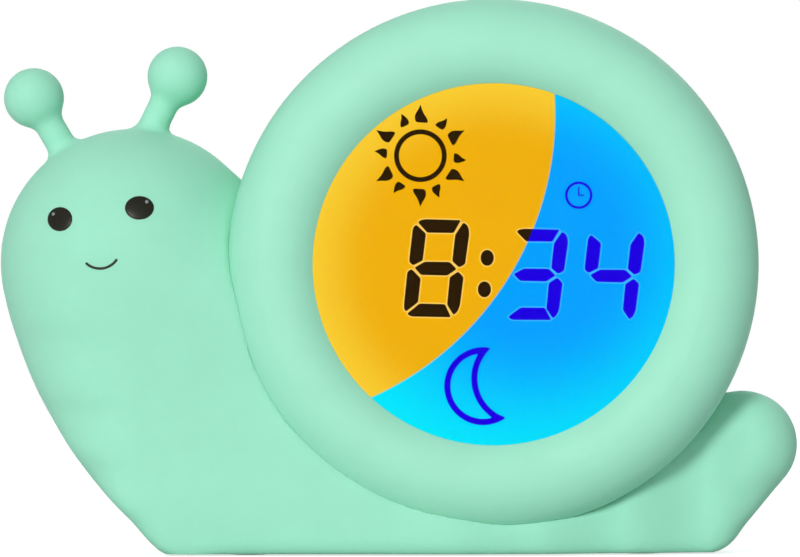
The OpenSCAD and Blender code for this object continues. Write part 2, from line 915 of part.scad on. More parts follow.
// The hole in the rear panel for the battery door, its hinge pins and its screw
module door_hole() {
  mid = (door_top + door_low) / 2;
  slab([2 * (door_half + seat_gap), door_top - door_low + 2 * seat_gap], rear - past, door_in, [0, mid]);
  slab([bay_long, bay_high], rear - past, panel_in + past, [0, bay_top - bay_high / 2]);
  slab([2 * (tongue_half + seat_gap), door_low - tongue_low + seat_gap], rear - past, door_in,
    [0, (door_low + tongue_low - seat_gap) / 2]);
  slab([2 * (door_half + seat_gap), 2 * (barrel_r + seat_gap)], rear - past,
    hinge_f + barrel_r + barrel_room, [0, hinge_y]);
  translate([-door_half - seat_gap - hinge_pin_long, hinge_y, hinge_f]) rotate([0, 90, 0])
    cylinder(r = hinge_pin_r + pin_gap, h = 2 * (door_half + seat_gap + hinge_pin_long));
  disc(door_screw_hole, rear, door_in + door_screw_reach + screw_room, [0, door_screw_y]);
}

module housing_screws() {
  color("#c9ccd0") face_on() for (a = housing_angles)
    screw(polar(housing_ring, a), housing_end - housing_floor, long_shank, long_screw, long_head,
      long_head_t);
}

// ---- Display ----

module display_lens() {
  color("#f2f6f8") face_on() disc(lens_r, lens_back, seat_f);
}

module lens_gasket() {
  color("#1c1c1e") face_on() ring(glass_r, window_r + gasket_inset, gasket_back, lens_back);
}

module lcd_front_glass() {
  color("#dfe8ea") face_on() disc(glass_r, front_glass_back, gasket_back);
}

// Cuts a disc flat at the bottom, where the ribbon passes
module flat_disc(r, from, to, low) {
  difference() {
    disc(r, from, to);
    slab([4 * r, 2 * r], from - past, to + past, [0, -low - r]);
  }
}

module lcd_rear_glass() {
  color("#dfe8ea") face_on() flat_disc(glass_r, rear_glass_back, cell_back, rear_glass_low);
}

// A layer of segments between the two glasses
module segment_layer() {
  translate([0, 0, cell_back]) linear_extrude(cell_gap) children();
}

// Leans a point of a digit to the right as it rises
function lean(p) = [p[0] + digit_lean * p[1], p[1]];

module leaning(points) {
  polygon([for (p = points) lean(p)]);
}

// One bar of a digit, with pointed ends
module bar_across(y, half) {
  t = digit_stroke / 2;
  leaning([[-half, y], [t - half, y + t], [half - t, y + t], [half, y], [half - t, y - t],
    [t - half, y - t]]);
}

module bar_up(x, low, high) {
  t = digit_stroke / 2;
  leaning([[x, low], [x + t, low + t], [x + t, high - t], [x, high], [x - t, high - t],
    [x - t, low + t]]);
}

module digit(lit, at) {
  x = (digit_w - digit_stroke) / 2;
  y = (digit_h - digit_stroke) / 2;
  translate(at) {
    if (lit[0] == "1") bar_across(y, x - digit_slit);
    if (lit[1] == "1") bar_up(x, digit_slit, y - digit_slit);
    if (lit[2] == "1") bar_up(x, digit_slit - y, -digit_slit);
    if (lit[3] == "1") bar_across(-y, x - digit_slit);
    if (lit[4] == "1") bar_up(-x, digit_slit - y, -digit_slit);
    if (lit[5] == "1") bar_up(-x, digit_slit, y - digit_slit);
    if (lit[6] == "1") bar_across(0, x - digit_slit);
  }
}

module time_segments() {
  color("#2a1b05") face_on() segment_layer() {
    digit(EIGHT, eight_at);
    digit(THREE, three_at);
    digit(FOUR, four_at);
    for (at = colon_places) translate(at) circle(r = colon_r);
  }
}

// A flame of the sun, pointing along an angle. Its size is its foot, its tip and its width.
module flame(a, size) {
  rotate(a) polygon([[size[0], -size[2] / 2], [size[1], 0], [size[0], size[2] / 2]]);
}

module flat_ring(radii) {
  difference() {
    circle(r = radii[0]);
    circle(r = radii[1]);
  }
}

// A crescent, drawn in by a distance
module crescent(inset) {
  difference() {
    circle(r = moon_r - inset);
    translate(moon_bite_at) circle(r = moon_bite + inset);
  }
}

module icon_segments() {
  color("#2a1b05") face_on() segment_layer() {
    translate(sun_at) {
      flat_ring(sun_ring);
      for (i = [0 : flames - 1]) {
        flame(90 + 360 / flames * i, long_flame);
        flame(90 + 360 / flames * (i + 0.5), short_flame);
      }
    }
    translate(moon_at) difference() {
      crescent(0);
      crescent(moon_line);
    }
    translate(icon_at) {
      flat_ring(icon_ring);
      translate([-hand_w / 2, -hand_w / 2]) square([hand_w, hand_up + hand_w / 2]);
      translate([-hand_w / 2, -hand_w / 2]) square([hand_out + hand_w / 2, hand_w]);
    }
  }
}

// The disc that the diffusers share
module diffuser_disc() {
  difference() {
    circle(r = glass_r);
    translate([-lens_r, -ribbon_notch - lens_r]) square([2 * lens_r, lens_r]);
  }
}

module amber_diffuser() {
  color("#f2b205") face_on() translate([0, 0, box_front]) linear_extrude(diffuser_t) intersection() {
    diffuser_disc();
    amber_side(-diffuser_gap);
  }
}

module blue_diffuser() {
  color("#00aaff") face_on() translate([0, 0, box_front]) linear_extrude(diffuser_t) difference() {
    diffuser_disc();
    amber_side(diffuser_gap);
  }
}

module light_box() {
  color("#f4f4f0") face_on() difference() {
    union() {
      ring(box_r, box_in, box_back, box_front);
      ring(box_r, led_screw_ring - floor_in, box_back, box_back + floor_t);
      for (a = lug_angles) box_lug(a);
      for (a = post_angles) disc(post_r, main_front, box_back + floor_t, polar(post_ring, a));
      for (a = led_screw_angles)
        disc(small_boss, box_back, box_back + led_boss_high, polar(led_screw_ring, a));
      intersection() {
        disc(box_r, box_back, box_front);
        translate([-box_r, -box_r, box_back])
          cube([2 * box_r, box_r - ribbon_notch + notch_t, box_depth]);
      }
      intersection() {
        disc(box_r - root, box_back, box_front);
        translate([0, 0, box_back]) linear_extrude(box_depth) difference() {
          amber_side(divider_t / 2);
          amber_side(-divider_t / 2);
        }
      }
    }
    slab([2 * box_r, 2 * box_r], box_back - past, box_front + past, [0, -ribbon_notch - box_r]);
    for (a = lug_angles)
      disc(small_shank + loose_gap, lug_front - lug_t - past, lug_front + past, polar(lug_ring, a));
    for (a = post_angles)
      disc(small_shank + pin_gap, main_front - past, main_front + small_long, polar(post_ring, a));
    for (a = led_screw_angles)
      disc(small_shank + pin_gap, box_back - past, box_back + led_boss_high - root, polar(led_screw_ring, a));
  }
}

// A lug on the light box that its screw goes through
module box_lug(a) {
  rotate(a) {
    disc(small_boss, lug_front - lug_t, lug_front, [lug_ring, 0]);
    slab([lug_ring - box_in - root, 2 * small_boss], lug_front - lug_t, lug_front,
      [(lug_ring + box_in + root) / 2, 0]);
  }
}

module led_board() {
  color("#f7f7f5") face_on() difference() {
    disc(led_board_r, box_back - led_t, box_back);
    for (a = post_angles)
      disc(post_r + seat_gap, box_back - led_t - past, box_back + past, polar(post_ring, a));
    for (a = led_screw_angles)
      disc(small_shank + loose_gap, box_back - led_t - past, box_back + past, polar(led_screw_ring, a));
    slab([2 * box_r, box_r], box_back - led_t - past, box_back + past, [0, -ribbon_notch - box_r / 2]);
  }
}

module leds(places) {
  for (at = places) {
    slab(led_size, box_back, box_back + led_high, at);
    disc(led_lens_r, box_back + led_high, box_back + led_high + led_lens_high, at);
  }
}

module amber_leds() {
  color("#ffcf4a") face_on() leds(amber_places);
}

module blue_leds() {
  color("#4ac8ff") face_on() leds(blue_places);
}

module lcd_ribbon() {
  out = -ribbon_low;
  in = out + ribbon_t;
  top = -window_r - ribbon_tuck;
  glass = front_glass_back;
  color("#c98a3a") face_on() translate([-ribbon_half, 0, 0]) rotate([90, 0, 90])
    linear_extrude(2 * ribbon_half) polygon([[out, glass], [top, glass], [top, glass - ribbon_t],
      [in, glass - ribbon_t], [in, main_front + ribbon_t], [in + ribbon_foot, main_front + ribbon_t],
      [in + ribbon_foot, main_front], [out, main_front]]);
}

// ---- Main board ----

module main_board() {
  color("#2f7d4f") face_on() difference() {
    disc(main_board_r, main_back, main_front);
    for (a = post_angles)
      disc(small_shank + loose_gap, main_back - past, main_front + past, polar(post_ring, a));
  }
}

module board_screws() {
  color("#c9ccd0") face_on() {
    for (a = post_angles)
      screw(polar(post_ring, a), main_back, small_shank, small_long, small_head, small_head_t);
    for (a = led_screw_angles)
      screw(polar(led_screw_ring, a), box_back - led_t, small_shank, led_screw_long, small_head,
        small_head_t);
    for (a = lug_angles)
      screw(polar(lug_ring, a), lug_front - lug_t, small_shank, small_long, small_head, small_head_t);
    for (at = key_bosses) translate([at[0], at[1], key_front]) rotate([180, 0, 0])
      screw([0, 0], 0, small_shank, small_long, small_head, small_head_t);
  }
}

module control_chip() {
  color("#202124") face_on() slab(chip_size, main_back - chip_t, main_back, chip_at);
}

module capacitors() {
  color("#3b4a7a") face_on() for (at = capacitor_places)
    disc(capacitor_r, main_back - capacitor_high, main_back, at);
}

module crystal() {
  color("#d5d8da") face_on() translate([crystal_at[0], crystal_at[1], main_back - crystal_r])
    rotate([90, 0, 0]) cylinder(r = crystal_r, h = crystal_long);
}

module lead_sockets() {
  color("#f2efe4") face_on() {
    slab(lead_socket_size, main_back - socket_t, main_back, lead_socket_at);
    slab(lead_socket_size, key_back - speaker_socket_t, key_back, speaker_socket_at);
  }
}

module ribbon_sockets() {
  color("#f2efe4") face_on() {
    slab(ribbon_socket_size, main_back - socket_t, main_back, ribbon_at);
    slab(ribbon_socket_size, key_front, key_front + socket_t, ribbon_at);
  }
}

module key_ribbon() {
  color("#d8d8dc") face_on()
    slab(key_ribbon_size, key_front + socket_t, main_back - socket_t, ribbon_at);
}

// ---- Rear board and controls ----

module key_board() {
  color("#2f7d4f") face_on() difference() {
    slab([2 * key_half, key_high - key_low], key_back, key_front, [0, (key_high + key_low) / 2]);
    for (at = key_bosses) disc(small_shank + loose_gap, key_back - past, key_front + past, at);
  }
}

module tact_switches() {
  color("#202124") face_on() for (i = buttons) difference() {
    slab([switch_w, switch_w], switch_top, key_back, button_at(i));
    disc(plunger_r + plunger_gap, switch_top - past, switch_top + plunger_deep + cap_travel + plunger_room,
      button_at(i));
  }
}

module button(i) {
  at = button_at(i);
  color("#8fd6bb") face_on() {
    disc(cap_r, rear - cap_proud, panel_in + cap_flange_t / 2, at);
    disc(cap_flange_r, panel_in + cap_rest, panel_in + cap_rest + cap_flange_t, at);
    disc(plunger_r + cap_stem_out, panel_in + cap_flange_t, plunger_end, at);
  }
}

module plunger(i) {
  color("#c8453a") face_on()
    disc(plunger_r, plunger_end, switch_top + plunger_deep, button_at(i));
}

module set_button() { button(0); }
module up_button() { button(1); }
module down_button() { button(2); }
module alarm_button() { button(3); }
module light_button() { button(4); }
module set_plunger() { plunger(0); }
module up_plunger() { plunger(1); }
module down_plunger() { plunger(2); }
module alarm_plunger() { plunger(3); }
module light_plunger() { plunger(4); }

module slide_switch_body() {
  color("#b9bcc0") face_on() difference() {
    slab([slide_body[0], slide_body[1]], key_back - slide_body[2], key_back, [-port_out, port_up]);
    slab(slide_room, key_back - slide_body[2] - past, key_back - slide_body[2] + slide_slot + slide_floor,
      [-port_out, port_up]);
  }
}

module slide_knob() {
  color("#202124") face_on()
    slab([slide_lever[0], slide_lever[1]], rear - lever_proud, key_back - slide_body[2] + slide_slot,
      [-port_out - slide_travel / 2, port_up]);
}

module usb_shell() {
  color("#c9ccd0") face_on() translate([port_out, port_up, rear + usb_in])
    linear_extrude(key_back - rear - usb_in) difference() {
      usb_outline(0);
      usb_outline(-usb_wall);
    }
}

module usb_tongue() {
  color("#202124") face_on() {
    translate([port_out, port_up, key_back - usb_back_t]) linear_extrude(usb_back_t)
      usb_outline(-usb_wall - tongue_gap);
    slab([usb_w - 2 * tongue_side, tongue_t], rear + usb_in + tongue_in, key_back - usb_back_t,
      [port_out, port_up]);
  }
}

// ---- Speaker ----

module speaker_frame() {
  up = [0, speaker_up];
  color("#9ea2a6") face_on() difference() {
    union() {
      ring(speaker_r, speaker_r - speaker_rim_w, panel_in, panel_in + speaker_rim_t, up);
      translate([0, speaker_up, panel_in + speaker_rim_t])
        cylinder(r1 = speaker_r, r2 = magnet_r + basket_t / 2, h = speaker_deep - speaker_rim_t);
    }
    translate([0, speaker_up, panel_in + speaker_rim_t - sliver])
      cylinder(r1 = speaker_r - speaker_rim_w, r2 = magnet_r - basket_t,
        h = speaker_deep - speaker_rim_t - basket_t);
    disc(coil_hole, panel_in, panel_in + speaker_deep + past, up);
  }
}

module speaker_cone() {
  color("#2a2a2c") face_on() translate([0, speaker_up, panel_in + cone_in]) difference() {
    union() {
      cylinder(r = speaker_r - speaker_rim_w, h = cone_t);
      translate([0, 0, cone_t]) cylinder(r1 = cone_r[0], r2 = cone_r[1], h = cone_high);
    }
    translate([0, 0, -sliver])
      cylinder(r1 = cone_r[0] - cone_slope, r2 = cone_r[1] - cone_slope, h = cone_high - sliver);
  }
}

module speaker_magnet() {
  color("#55585c") face_on()
    disc(magnet_r, panel_in + speaker_deep, panel_in + speaker_deep + magnet_t, [0, speaker_up]);
}

// ---- Battery bay ----

function cell_y(i) = bay_top - bay_side - cell_pitch * (i + 0.5);

module battery_tray() {
  mid = [0, bay_top - bay_high / 2];
  color("#e8e8e2") face_on() difference() {
    union() {
      slab([bay_long + 2 * tray_wall, bay_high + 2 * tray_wall], panel_in, tray_back, mid);
      slab([bay_long + 2 * (tray_wall + tray_lug), bay_high - tray_lug_short], panel_in,
        panel_in + tray_lug_t, mid - [0, tray_lug_drop]);
    }
    difference() {
      slab([bay_long, bay_high], panel_in - past, bay_floor, mid);
      for (i = [1 : cell_count - 1])
        slab(cell_rib, cell_f + cell_rib_f, bay_floor + past, [0, (cell_y(i) + cell_y(i - 1)) / 2]);
    }
  }
}

// Puts children that are drawn along +X onto a cell's axis, with the nub at +X
module at_cell(i) {
  translate([0, cell_y(i), cell_f]) rotate([0, 0, 180 * (i % 2)]) children();
}

module battery_cells() {
  color("#d9a441") face_on() for (i = cells) at_cell(i) rotate([0, 90, 0]) {
    translate([0, 0, nub_end - cell_long]) cylinder(r = cell_r, h = cell_long - nub_long);
    translate([0, 0, nub_end - nub_long]) cylinder(r = nub_r, h = nub_long);
  }
}

module battery_plates() {
  color("#d5d8da") face_on() for (i = cells) at_cell(i) for (side = [-1, 1])
    translate([side * (bay_long - plate_t) / 2, 0, 0]) cube([plate_t, plate_w, plate_w], center = true);
}

// Points of a conical spring along +X from the plate to the cell
function spring_point(t, long) =
  let (r = spring_r - spring_taper * t, a = 360 * spring_turns * t)
  [t * long, r * cos(a), r * sin(a)];

module battery_springs() {
  long = bay_long - 2 * plate_t - cell_long - 2 * spring_wire;
  steps = spring_steps * spring_turns;
  color("#d5d8da") face_on() for (i = cells) at_cell(i)
    translate([plate_t + spring_wire - bay_long / 2, 0, 0])
      wire([for (s = [0 : steps]) spring_point(s / steps, long)], spring_wire);
}

module battery_door() {
  color("#8fd6bb") face_on() difference() {
    union() {
      slab([2 * door_half, hinge_y - door_low], rear, door_in, [0, (hinge_y + door_low) / 2]);
      slab([2 * tongue_half, tongue_long + past], rear, door_in, [0, (door_low + tongue_low + past) / 2]);
      translate([-door_half, hinge_y, hinge_f]) rotate([0, 90, 0])
        cylinder(r = barrel_r, h = 2 * door_half);
      translate([-door_half - hinge_pin_long, hinge_y, hinge_f]) rotate([0, 90, 0])
        cylinder(r = hinge_pin_r, h = 2 * (door_half + hinge_pin_long));
    }
    disc(door_screw_r + pin_gap, rear - past, door_in + past, [0, door_screw_y]);
    disc(door_head + plate_gap, rear - past, rear + door_head_deep, [0, door_screw_y]);
  }
}

module door_screw() {
  color("#c9ccd0") face_on()
    screw([0, door_screw_y], rear + door_head_deep, door_screw_r, door_t + door_screw_reach - door_head_deep,
      door_head, door_head_t);
}

// ---- Leads ----

module battery_leads() {
  color("#c8453a") face_on() for (side = [-1, 1]) {
    start = [battery_lead_at[0] + side, battery_lead_at[1], tray_back + battery_lead_r];
    end = [lead_socket_at[0] + side * battery_lead_gap, lead_socket_at[1],
      main_back - socket_t - battery_lead_r];
    wire([start, start + battery_lead_way[0], end + battery_lead_way[1], end], battery_lead_r);
  }
}

module speaker_leads() {
  f = panel_in + speaker_deep + magnet_t + speaker_lead_r + lead_clear;
  socket_x = speaker_socket_at[0] + lead_socket_size[0] / 2 + speaker_lead_r + lead_clear;
  color("#202124") face_on() for (side = [-speaker_lead_gap, speaker_lead_gap])
    wire([[-magnet_r / 2, speaker_up + side, f],
      [socket_x + speaker_lead_way[0], speaker_up + speaker_lead_way[1] + side, f],
      [socket_x, speaker_socket_at[1] + side, f]], speaker_lead_r);
}

body_skin();
eyes();
mouth();
head_core();
base_plate();
rubber_feet();
base_screws();
shell_front_ring();
shell_rear_cover();
housing_screws();
display_lens();
lens_gasket();
lcd_front_glass();
lcd_rear_glass();
time_segments();
icon_segments();
amber_diffuser();
blue_diffuser();
light_box();
led_board();
amber_leds();
blue_leds();
lcd_ribbon();
main_board();
board_screws();
control_chip();
capacitors();
crystal();
lead_sockets();
ribbon_sockets();
key_ribbon();
key_board();
tact_switches();
slide_switch_body();
usb_shell();
usb_tongue();
speaker_frame();
speaker_cone();
speaker_magnet();
battery_tray();
battery_cells();
battery_springs();
battery_plates();
battery_leads();
speaker_leads();
set_button();
up_button();
down_button();
alarm_button();
light_button();
set_plunger();
up_plunger();
down_plunger();
alarm_plunger();
light_plunger();
slide_knob();
battery_door();
door_screw();
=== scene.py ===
import json
import logging
import math
from dataclasses import dataclass, field
from enum import Enum
from typing import Callable, Sequence

import bmesh
import bpy
import numpy as np
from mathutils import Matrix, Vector

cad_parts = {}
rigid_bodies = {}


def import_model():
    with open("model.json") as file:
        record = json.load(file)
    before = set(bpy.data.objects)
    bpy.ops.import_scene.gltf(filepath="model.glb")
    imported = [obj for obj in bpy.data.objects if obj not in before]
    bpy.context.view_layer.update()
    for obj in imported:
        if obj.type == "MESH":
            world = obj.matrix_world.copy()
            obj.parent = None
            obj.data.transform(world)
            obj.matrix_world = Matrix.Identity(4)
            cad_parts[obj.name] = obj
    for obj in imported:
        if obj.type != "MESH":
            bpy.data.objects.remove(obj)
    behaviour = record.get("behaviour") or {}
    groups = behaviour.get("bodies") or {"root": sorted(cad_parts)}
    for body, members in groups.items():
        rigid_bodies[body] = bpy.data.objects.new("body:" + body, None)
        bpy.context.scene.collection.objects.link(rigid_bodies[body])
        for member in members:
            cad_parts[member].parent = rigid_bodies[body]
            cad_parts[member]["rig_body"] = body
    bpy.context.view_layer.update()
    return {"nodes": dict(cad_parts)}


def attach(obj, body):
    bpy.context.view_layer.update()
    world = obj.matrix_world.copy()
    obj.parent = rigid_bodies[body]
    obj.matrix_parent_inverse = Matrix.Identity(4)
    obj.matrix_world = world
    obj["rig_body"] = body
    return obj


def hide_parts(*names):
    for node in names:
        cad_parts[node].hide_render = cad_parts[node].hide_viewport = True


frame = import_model()
SLOT_OF: dict[str, str] = {
    name: thing.data.materials[0].name.split(".")[0] for name, thing in frame["nodes"].items()
}
LOG = logging.getLogger("snail_clock")
# Sizes in this file are in millimetres, and MM turns them into the metres of a mesh.
MM = 0.001
# The turn past which an edge stays sharp, on square edges and on edges that are rounded already.
CREASE = math.radians(32)
ROUNDED_CREASE = math.radians(100)
# Neighbouring faces that turn by less become one, and so do corners that lie closer than this.
FLAT_TURN = math.radians(0.6)
SAME_PLACE = 0.002 * MM
Socket = bpy.types.NodeSocket
Thing = bpy.types.Object
Point = tuple[float, float, float]
Colour = tuple[float, float, float]
Flat = tuple[float, float]
Oval = tuple[float, float, float, float]
Shape = tuple[np.ndarray, list]
# The middle of the round shell and its display.
DRUM_MIDDLE: Point = (18.7, 0.0, 57.5)
# The circle that parts the amber field, inside it, from the blue one.
SPLIT_MIDDLE: Point = (-30.4, 0.0, 87.2)
SPLIT_R = 61.3


def from_srgb(red: int, green: int, blue: int) -> Colour:
    """Turns an 8-bit display colour into the linear one that a shader takes.

    Args:
        red: Red, 0 to 255.
        green: Green, 0 to 255.
        blue: Blue, 0 to 255.

    Returns:
        The linear colour.
    """
    shares = (value / 255 for value in (red, green, blue))
    return tuple(s / 12.92 if s <= 0.04045 else ((s + 0.055) / 1.055) ** 2.4 for s in shares)


def scaled(colour: Colour, by: float) -> Colour:
    """Returns a colour that is lighter or darker by one factor."""
    return tuple(min(1.0, value * by) for value in colour)


class Nodes:
    """A node tree that starts empty, with a short way to add nodes to it."""

    def __init__(self, tree: bpy.types.NodeTree) -> None:
        """Takes the tree and empties it."""
        self.tree = tree
        self.tree.nodes.clear()

    def add(self, kind: str, settings: dict | None = None, **inputs: object) -> bpy.types.Node:
        """Adds a node.

        Args:
            kind: The node's type.
            settings: Its properties.
            **inputs: Its inputs by name with _ for a space, each a socket or a value.

        Returns:
            The node.
        """
        node = self.tree.nodes.new(kind)
        for key, value in (settings or {}).items():
            setattr(node, key, value)
        for key, value in inputs.items():
            socket = node.inputs[int(key[1:])] if key[1:].isdigit() else node.inputs[key.replace("_", " ")]
            if isinstance(value, Socket):
                self.tree.links.new(value, socket)
            elif isinstance(value, tuple) and len(value) == 3 and socket.type == "RGBA":
                socket.default_value = (*value, 1)
            else:
                socket.default_value = value
        return node


class Shader(Nodes):
    """One material's node tree, with the steps that the finishes share."""

    def __init__(self, name: str) -> None:
        """Starts an empty material.

        Args:
            name: The material's name.
        """
        self.material = bpy.data.materials.new(name)
        self.material.use_nodes = True
        super().__init__(self.material.node_tree)
        self.output = self.add("ShaderNodeOutputMaterial")
        self.place = self.add("ShaderNodeTexCoord").outputs["Object"]

    def noise(self, size_mm: float, detail: float = 2.0, place: Socket | None = None) -> Socket:
        """Adds noise whose blotches are about size_mm across, and returns its value."""
        return self.add(
            "ShaderNodeTexNoise", Vector=place or self.place, Scale=1 / (size_mm * MM), Detail=detail
        ).outputs["Fac"]

    def remap(self, value: Socket, low: float, high: float, to_low: float, to_high: float,
              smooth: bool = False) -> Socket:
        """Maps a value's range onto another, clamped, and returns the new value.

        Args:
            value: The value.
            low: The range's lower end.
            high: Its upper end.
            to_low: What the lower end becomes.
            to_high: What the upper end becomes.
            smooth: Whether the ends are eased.

        Returns:
            The new value.
        """
        kind = {"interpolation_type": "SMOOTHSTEP" if smooth else "LINEAR"}
        node = self.add("ShaderNodeMapRange", kind, Value=value)
        for name, number in zip(("From Min", "From Max", "To Min", "To Max"), (low, high, to_low, to_high)):
            node.inputs[name].default_value = number
        return node.outputs["Result"]

    def spread(self, noise: Socket, to_low: float, to_high: float) -> Socket:
        """Maps the range that noise mostly keeps to, 0.3 to 0.7, onto another, and returns the new value."""
        return self.remap(noise, 0.3, 0.7, to_low, to_high)

    def math(self, how: str, a: Socket | float, b: Socket | float = 0.0) -> Socket:
        """Joins two values with one operation and returns the result."""
        return self.add("ShaderNodeMath", {"operation": how}, _0=a, _1=b).outputs[0]

    def mix(self, share: Socket | float, first: Colour | Socket, second: Colour | Socket) -> Socket:
        """Blends two colours and returns the blend."""
        node = self.add("ShaderNodeMix", {"data_type": "RGBA"}, _0=share, _6=first, _7=second)
        return node.outputs[2]

    def away_from(self, point_mm: Point, squash: Point = (1, 1, 1)) -> Socket:
        """Returns the distance, in metres, from a point given in millimetres, each axis scaled.

        Args:
            point_mm: The point.
            squash: The scale of each axis.

        Returns:
            The distance.
        """
        near = self.add("ShaderNodeVectorMath", {"operation": "SUBTRACT"}, _0=self.place,
                        _1=tuple(value * MM for value in point_mm))
        flat = self.add("ShaderNodeVectorMath", {"operation": "MULTIPLY"}, _0=near.outputs[0], _1=squash)
        return self.add("ShaderNodeVectorMath", {"operation": "LENGTH"}, _0=flat.outputs[0]).outputs["Value"]

    def principled(self, **inputs: object) -> bpy.types.Node:
        """Adds the main shader, joins it to the output and returns it.

        Args:
            **inputs: Its inputs by name with _ for a space.

        Returns:
            The shader.
        """
        node = self.add("ShaderNodeBsdfPrincipled", **inputs)
        self.tree.links.new(node.outputs[0], self.output.inputs["Surface"])
        return node


class Finish:
    """A finish of the clock, which is made a material."""

    def material(self, name: str) -> bpy.types.Material:
        """Builds the finish as a material.

        Args:
            name: The material's name.

        Returns:
            The material.
        """
        shader = Shader(name)
        self.dress(shader)
        return shader.material

    def dress(self, shader: Shader) -> None:
        """Adds the finish's nodes, each kind of finish in its own way."""
        raise NotImplementedError


@dataclass(frozen=True)
class Moulded(Finish):
    """Moulded plastic, rubber or silicone: faint mottling, uneven gloss and a fine grain."""

    colour: Colour
    rough: float = 0.45
    mottle: float = 0.04
    grain_mm: float = 0.35
    grain_depth: float = 0.05
    coat: float = 0.0
    soft: float = 0.0
    metallic: float = 0.0
    shine: float = 0.5
    blotch_mm: float = 9.0
    gloss_mm: float = 4.0
    rough_swing: float = 0.05

    def dress(self, shader: Shader) -> None:
        """Adds the finish's nodes.

        Args:
            shader: The material's node tree.
        """
        blotch = shader.noise(self.blotch_mm, 3.0)
        colour = shader.mix(
            shader.spread(blotch, 0, 1), scaled(self.colour, 1 - self.mottle),
            scaled(self.colour, 1 + self.mottle),
        )
        low, high = max(0.02, self.rough - self.rough_swing), min(1.0, self.rough + self.rough_swing)
        gloss = shader.spread(shader.noise(self.gloss_mm), low, high)
        grain = shader.add(
            "ShaderNodeBump", Strength=self.grain_depth, Distance=0.1 * MM,
            Height=shader.noise(self.grain_mm, 2.0),
        )
        shader.principled(
            Base_Color=colour, Roughness=gloss, Normal=grain.outputs[0], Coat_Weight=self.coat,
            Coat_Roughness=0.2, Subsurface_Weight=self.soft, Subsurface_Radius=(0.6, 1.0, 0.8),
            Subsurface_Scale=2 * MM, Metallic=self.metallic, Specular_IOR_Level=self.shine,
        )


@dataclass(frozen=True)
class Metal(Finish):
    """Plated or drawn metal with fine streaks."""

    colour: Colour
    rough: float = 0.3
    streak: Point = (1, 1, 12)
    streak_mm: float = 0.6

    def dress(self, shader: Shader) -> None:
        """Adds the finish's nodes.

        Args:
            shader: The material's node tree.
        """
        drawn = shader.add("ShaderNodeMapping", Vector=shader.place, Scale=self.streak)
        lines = shader.noise(self.streak_mm, 4.0, drawn.outputs[0])
        colour = shader.mix(lines, scaled(self.colour, 0.86), scaled(self.colour, 1.08))
        rough = shader.remap(lines, 0.25, 0.75, self.rough * 0.7, self.rough * 1.3)
        bump = shader.add("ShaderNodeBump", Strength=0.08, Distance=0.05 * MM, Height=lines)
        shader.principled(Base_Color=colour, Metallic=1.0, Roughness=rough, Normal=bump.outputs[0])


@dataclass(frozen=True)
class Clear(Finish):
    """Clear plastic or glass."""

    tint: Colour = (1, 1, 1)
    alpha: float = 1.0
    rough: float = 0.0
    ior: float = 1.45
    through: float = 0.0
    haze: float = 0.02
    haze_mm: float = 12.0

    def dress(self, shader: Shader) -> None:
        """Adds the finish's nodes.

        Args:
            shader: The material's node tree.
        """
        rough = shader.spread(shader.noise(self.haze_mm, 3.0), self.rough, self.rough + self.haze)
        shader.principled(Base_Color=self.tint, Roughness=rough, Alpha=self.alpha, IOR=self.ior,
                          Transmission_Weight=self.through)


@dataclass(frozen=True)
class Board(Finish):
    """A printed circuit board: lacquer over copper runs."""

    lacquer: Colour
    copper: Colour
    run_mm: float = 4.2
    weave_mm: float = 0.5

    def dress(self, shader: Shader) -> None:
        """Adds the finish's nodes.

        Args:
            shader: The material's node tree.
        """
        steps = shader.add("ShaderNodeTexVoronoi", {"feature": "DISTANCE_TO_EDGE"},
                           Vector=shader.place, Scale=1 / (self.run_mm * MM), Randomness=0.55)
        runs = shader.remap(steps.outputs["Distance"], 0.05, 0.07, 1, 0)
        colour = shader.mix(runs, self.lacquer, self.copper)
        weave = shader.add("ShaderNodeTexChecker", Vector=shader.place, Scale=1 / (self.weave_mm * MM))
        faint = shader.math("MULTIPLY", weave.outputs["Fac"], 0.12)
        mottled = shader.mix(faint, colour, scaled(self.copper, 0.8))
        bump = shader.add("ShaderNodeBump", Strength=0.2, Distance=0.05 * MM, Height=runs)
        shader.principled(Base_Color=mottled, Roughness=shader.remap(runs, 0, 1, 0.32, 0.24),
                          Normal=bump.outputs[0])


@dataclass(frozen=True)
class Backlight(Finish):
    """A diffuser lit from behind, paler towards its rim."""

    deep: Colour
    pale: Colour
    middle: Point
    deep_to_mm: float
    pale_from_mm: float
    grain_share: float = 0.015

    def dress(self, shader: Shader) -> None:
        """Adds the finish's nodes.

        Args:
            shader: The material's node tree.
        """
        away = shader.away_from(self.middle, (1, 0, 1))
        share = shader.remap(away, self.deep_to_mm * MM, self.pale_from_mm * MM, 0, 1, True)
        least, most = -self.grain_share, self.grain_share
        grain = shader.remap(shader.noise(1.2, 4.0), 0.2, 0.8, least, most)
        colour = shader.mix(shader.math("ADD", share, grain), self.deep, self.pale)
        shader.principled(
            Base_Color=(0.002, 0.002, 0.002), Roughness=shader.remap(grain, least, most, 0.55, 0.65),
            Emission_Color=colour, Emission_Strength=1.0, Specular_IOR_Level=0.0,
        )


@dataclass(frozen=True)
class Segments(Finish):
    """The dark ink of the display: one colour on each side of the curved split."""

    on_amber: Colour
    on_blue: Colour
    split_at: Point
    split_r: float

    def dress(self, shader: Shader) -> None:
        """Adds the finish's nodes.

        Args:
            shader: The material's node tree.
        """
        away = shader.away_from(self.split_at, (1, 0, 1))
        edge = self.split_r * MM
        side = shader.remap(away, edge - 0.1 * MM, edge + 0.1 * MM, 0, 1)
        colour = shader.mix(side, self.on_amber, self.on_blue)
        grain = shader.spread(shader.noise(0.8, 3.0), 0.9, 1.1)
        shader.principled(
            Base_Color=(0, 0, 0), Roughness=shader.remap(grain, 0.9, 1.1, 0.5, 0.7),
            Emission_Color=colour, Emission_Strength=1.0, Specular_IOR_Level=0.0,
        )


